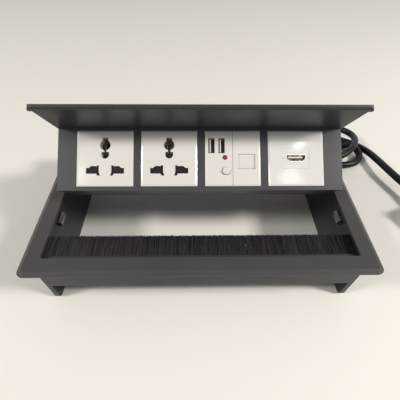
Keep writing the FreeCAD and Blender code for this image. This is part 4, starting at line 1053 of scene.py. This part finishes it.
NODE_FINISHES: dict[Finish, tuple[str, ...]] = {
    SHADED_WALL_ANODISED: ("front_wall", "lid_rail"),
    LIT_BEZEL_ANODISED: ("frame_bezel",),
    BLACK_ANODISED: ("panel_frame", "left_end_plate", "right_end_plate", "rear_cover"),
    SHADED_LID_ANODISED: ("lid_plate",),
    SHADED_INNER_ANODISED: ("rear_wall", "left_cheek", "right_cheek", "brush_holder"),
    PLAIN_ALUMINIUM: ("corner_blocks",),
    ZINC_STEEL: ("corner_screws", "case_screws", "hinge_pins", "stop_pins"),
    CLIP_STEEL: ("left_clip", "right_clip"),
    BLACK_NYLON: ("hinge_spacers", "cable_gland", "plug_body"),
    BLACK_RUBBER: ("stop_pads", "module_gland"),
    WHITE_MATT: ("socket_1_plate", "socket_2_plate", "usb_plate", "data_plate", "data_shutter"),
    WHITE_TONGUE: ("usb_tongues",),
    WHITE_BUTTON: ("usb_button",),
    WHITE_GLOSS: ("video_plate", "video_insert"),
    DARK_SLIDE: ("socket_1_shutter", "socket_2_shutter", "data_jack"),
    SOCKET_BODY: ("socket_1_body", "socket_2_body"),
    PORT_STEEL_DEPTH_LIT: ("usb_ports",),
    CONNECTOR_SHELL: ("video_port",),
    IVORY_BODY: ("terminal_block", "video_carrier"),
    BRASS: ("busbars", "plug_pins"),
    WORN_BRASS: ("socket_1_contacts", "socket_2_contacts"),
    BOARD_GREEN: ("usb_board",),
    RED_LENS: ("usb_led",),
}


def dress_node(node: str, finish: Finish) -> None:
    """Gives a carried-over node its finish, in the material slots it already has.

    Args:
        node: the node's name.
        finish: the finish for it.
    """
    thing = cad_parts[node]
    if not thing.material_slots:
        thing.data.materials.append(None)
    for slot in thing.material_slots:
        slot.material = finish.material()


# Studio


@dataclass(frozen=True)
class Lamp:
    """A soft lamp: its name, its place, its width and height, and its power in watts."""

    name: str
    place: Point
    size: tuple[float, float]
    power: float


@dataclass
class Studio:
    """Camera at the photograph's angle, pale floor and soft light."""

    place: Point = (-0.00572, -0.17721, 0.25263)
    pitch: float = math.radians(49.30)
    yaw: float = math.radians(1.74)
    roll: float = math.radians(1.09)
    focal: float = 296.2
    frame_pixels: float = 400.0
    sensor: float = 36.0
    nearest: float = 0.01
    floor_reach: float = 6.0
    floor_drop: float = 0.4 * MM
    floor_roughness: float = 0.6
    floor_cells: float = 40.0
    floor_tones: tuple[Colour, Colour] = ((0.94, 0.905, 0.85), (0.96, 0.925, 0.87))
    sky: Colour = (1.0, 0.985, 0.96)
    sky_level: float = 0.24
    lamp_colour: Colour = (1.0, 0.97, 0.93)
    lamp_target: Point = (0.0, 0.0, 0.06)
    lamps: tuple[Lamp, ...] = (
        Lamp("left_lamp", (-1.15, -0.39, 1.085), (0.25, 0.25), 10.2),
        Lamp("right_lamp", (1.15, -0.39, 1.085), (0.25, 0.25), 16.2),
        Lamp("window_upper", (0.475, -0.405, 1.12), (0.075, 0.03), 0.06),
        Lamp("window_lower", (0.46, -0.59, 1.12), (0.085, 0.085), 0.085),
        Lamp("window_left", (-0.58, -0.575, 1.12), (0.08, 0.12), 0.2),
    )

    def camera(self) -> bpy.types.Object:
        """Sets the camera as the photograph was taken.

        Returns:
            The camera object.
        """
        level_part = math.cos(self.pitch)
        forward = Vector((
            math.sin(self.yaw) * level_part, math.cos(self.yaw) * level_part, -math.sin(self.pitch),
        ))
        level = forward.cross(Vector((0, 0, 1))).normalized()
        above = level.cross(forward)
        right = level * math.cos(self.roll) + above * math.sin(self.roll)
        up = -level * math.sin(self.roll) + above * math.cos(self.roll)
        data = bpy.data.cameras.new("photo_camera")
        data.sensor_width = self.sensor
        data.lens = self.sensor * self.focal / self.frame_pixels
        data.clip_start = self.nearest
        camera = bpy.data.objects.new("photo_camera", data)
        bpy.context.scene.collection.objects.link(camera)
        turn = Matrix((right, up, -forward)).transposed()
        camera.matrix_world = Matrix.Translation(self.place) @ turn.to_4x4()
        bpy.context.scene.camera = camera
        return camera

    def floor(self) -> None:
        """Pale table that runs far out on all sides."""
        shape = bmesh.new()
        bmesh.ops.create_grid(shape, x_segments=1, y_segments=1, size=self.floor_reach)
        table = piece_from("table", shape)
        if table.data.polygons[0].normal.z < 0:
            table.data.flip_normals()
        table.location.z = -self.floor_drop
        material = bpy.data.materials.new("pale_table")
        material.use_nodes = True
        tree = ShaderTree(material.node_tree)
        shader = tree.tree.nodes["Principled BSDF"]
        shader.inputs["Roughness"].default_value = self.floor_roughness
        speck = tree.node("TexNoise")
        speck.inputs["Scale"].default_value = self.floor_cells
        tree.link(tree.blend(self.floor_tones, speck.outputs["Fac"]), shader.inputs["Base Color"])
        table.data.materials.append(material)

    def world(self) -> None:
        """Even light from all round, with a white background for the camera and for reflections."""
        world = bpy.data.worlds.new("studio")
        bpy.context.scene.world = world
        world.use_nodes = True
        tree = ShaderTree(world.node_tree)
        light = tree.tree.nodes["Background"]
        light.inputs["Color"].default_value = (*self.sky, 1.0)
        light.inputs["Strength"].default_value = self.sky_level
        white = tree.node("Background")
        white.inputs["Color"].default_value = (1.0, 1.0, 1.0, 1.0)
        white.inputs["Strength"].default_value = 1.0
        path = tree.node("LightPath")
        seen = path.outputs["Is Camera Ray"]
        for ray in ("Is Glossy Ray", "Is Transmission Ray"):
            either = tree.node("Math", operation="MAXIMUM")
            tree.link(seen, either.inputs[0])
            tree.link(path.outputs[ray], either.inputs[1])
            seen = either.outputs[0]
        mix = tree.node("MixShader")
        tree.link(seen, mix.inputs["Fac"])
        tree.link(light.outputs[0], mix.inputs[1])
        tree.link(white.outputs[0], mix.inputs[2])
        tree.link(mix.outputs[0], tree.tree.nodes["World Output"].inputs["Surface"])

    def hang(self, lamp: Lamp) -> None:
        """Hangs a lamp so that it faces the part.

        Args:
            lamp: the lamp's place, size and power.
        """
        data = bpy.data.lights.new(lamp.name, "AREA")
        data.shape = "RECTANGLE"
        data.size, data.size_y = lamp.size
        data.energy = lamp.power
        data.color = self.lamp_colour
        thing = bpy.data.objects.new(lamp.name, data)
        bpy.context.scene.collection.objects.link(thing)
        thing.location = lamp.place
        aim = Vector(self.lamp_target) - Vector(lamp.place)
        thing.rotation_mode = "QUATERNION"
        thing.rotation_quaternion = aim.to_track_quat("-Z", "Y")

    def build(self) -> None:
        """Sets up floor, world and lamps."""
        self.floor()
        self.world()
        for lamp in self.lamps:
            self.hang(lamp)
        bpy.context.scene.view_settings.view_transform = "Standard"


def main() -> None:
    """Builds the scene in order: camera, lead, brush, outlets, finishes of the carried-over nodes, stage."""
    logging.basicConfig(level=logging.INFO, format="%(message)s")
    studio = Studio()
    studio.camera()
    for assembly in (MainsLead(), CableBrush(), UsbOutlet(), VideoOutlet(), DataOutlet()):
        for piece in assembly.build():
            LOG.info("built %s", piece.name)
    for finish, nodes in NODE_FINISHES.items():
        for node in nodes:
            dress_node(node, finish)
            LOG.info("dressed %s in %s", node, finish.name)
    studio.build()


if __name__ == "__main__":
    main()
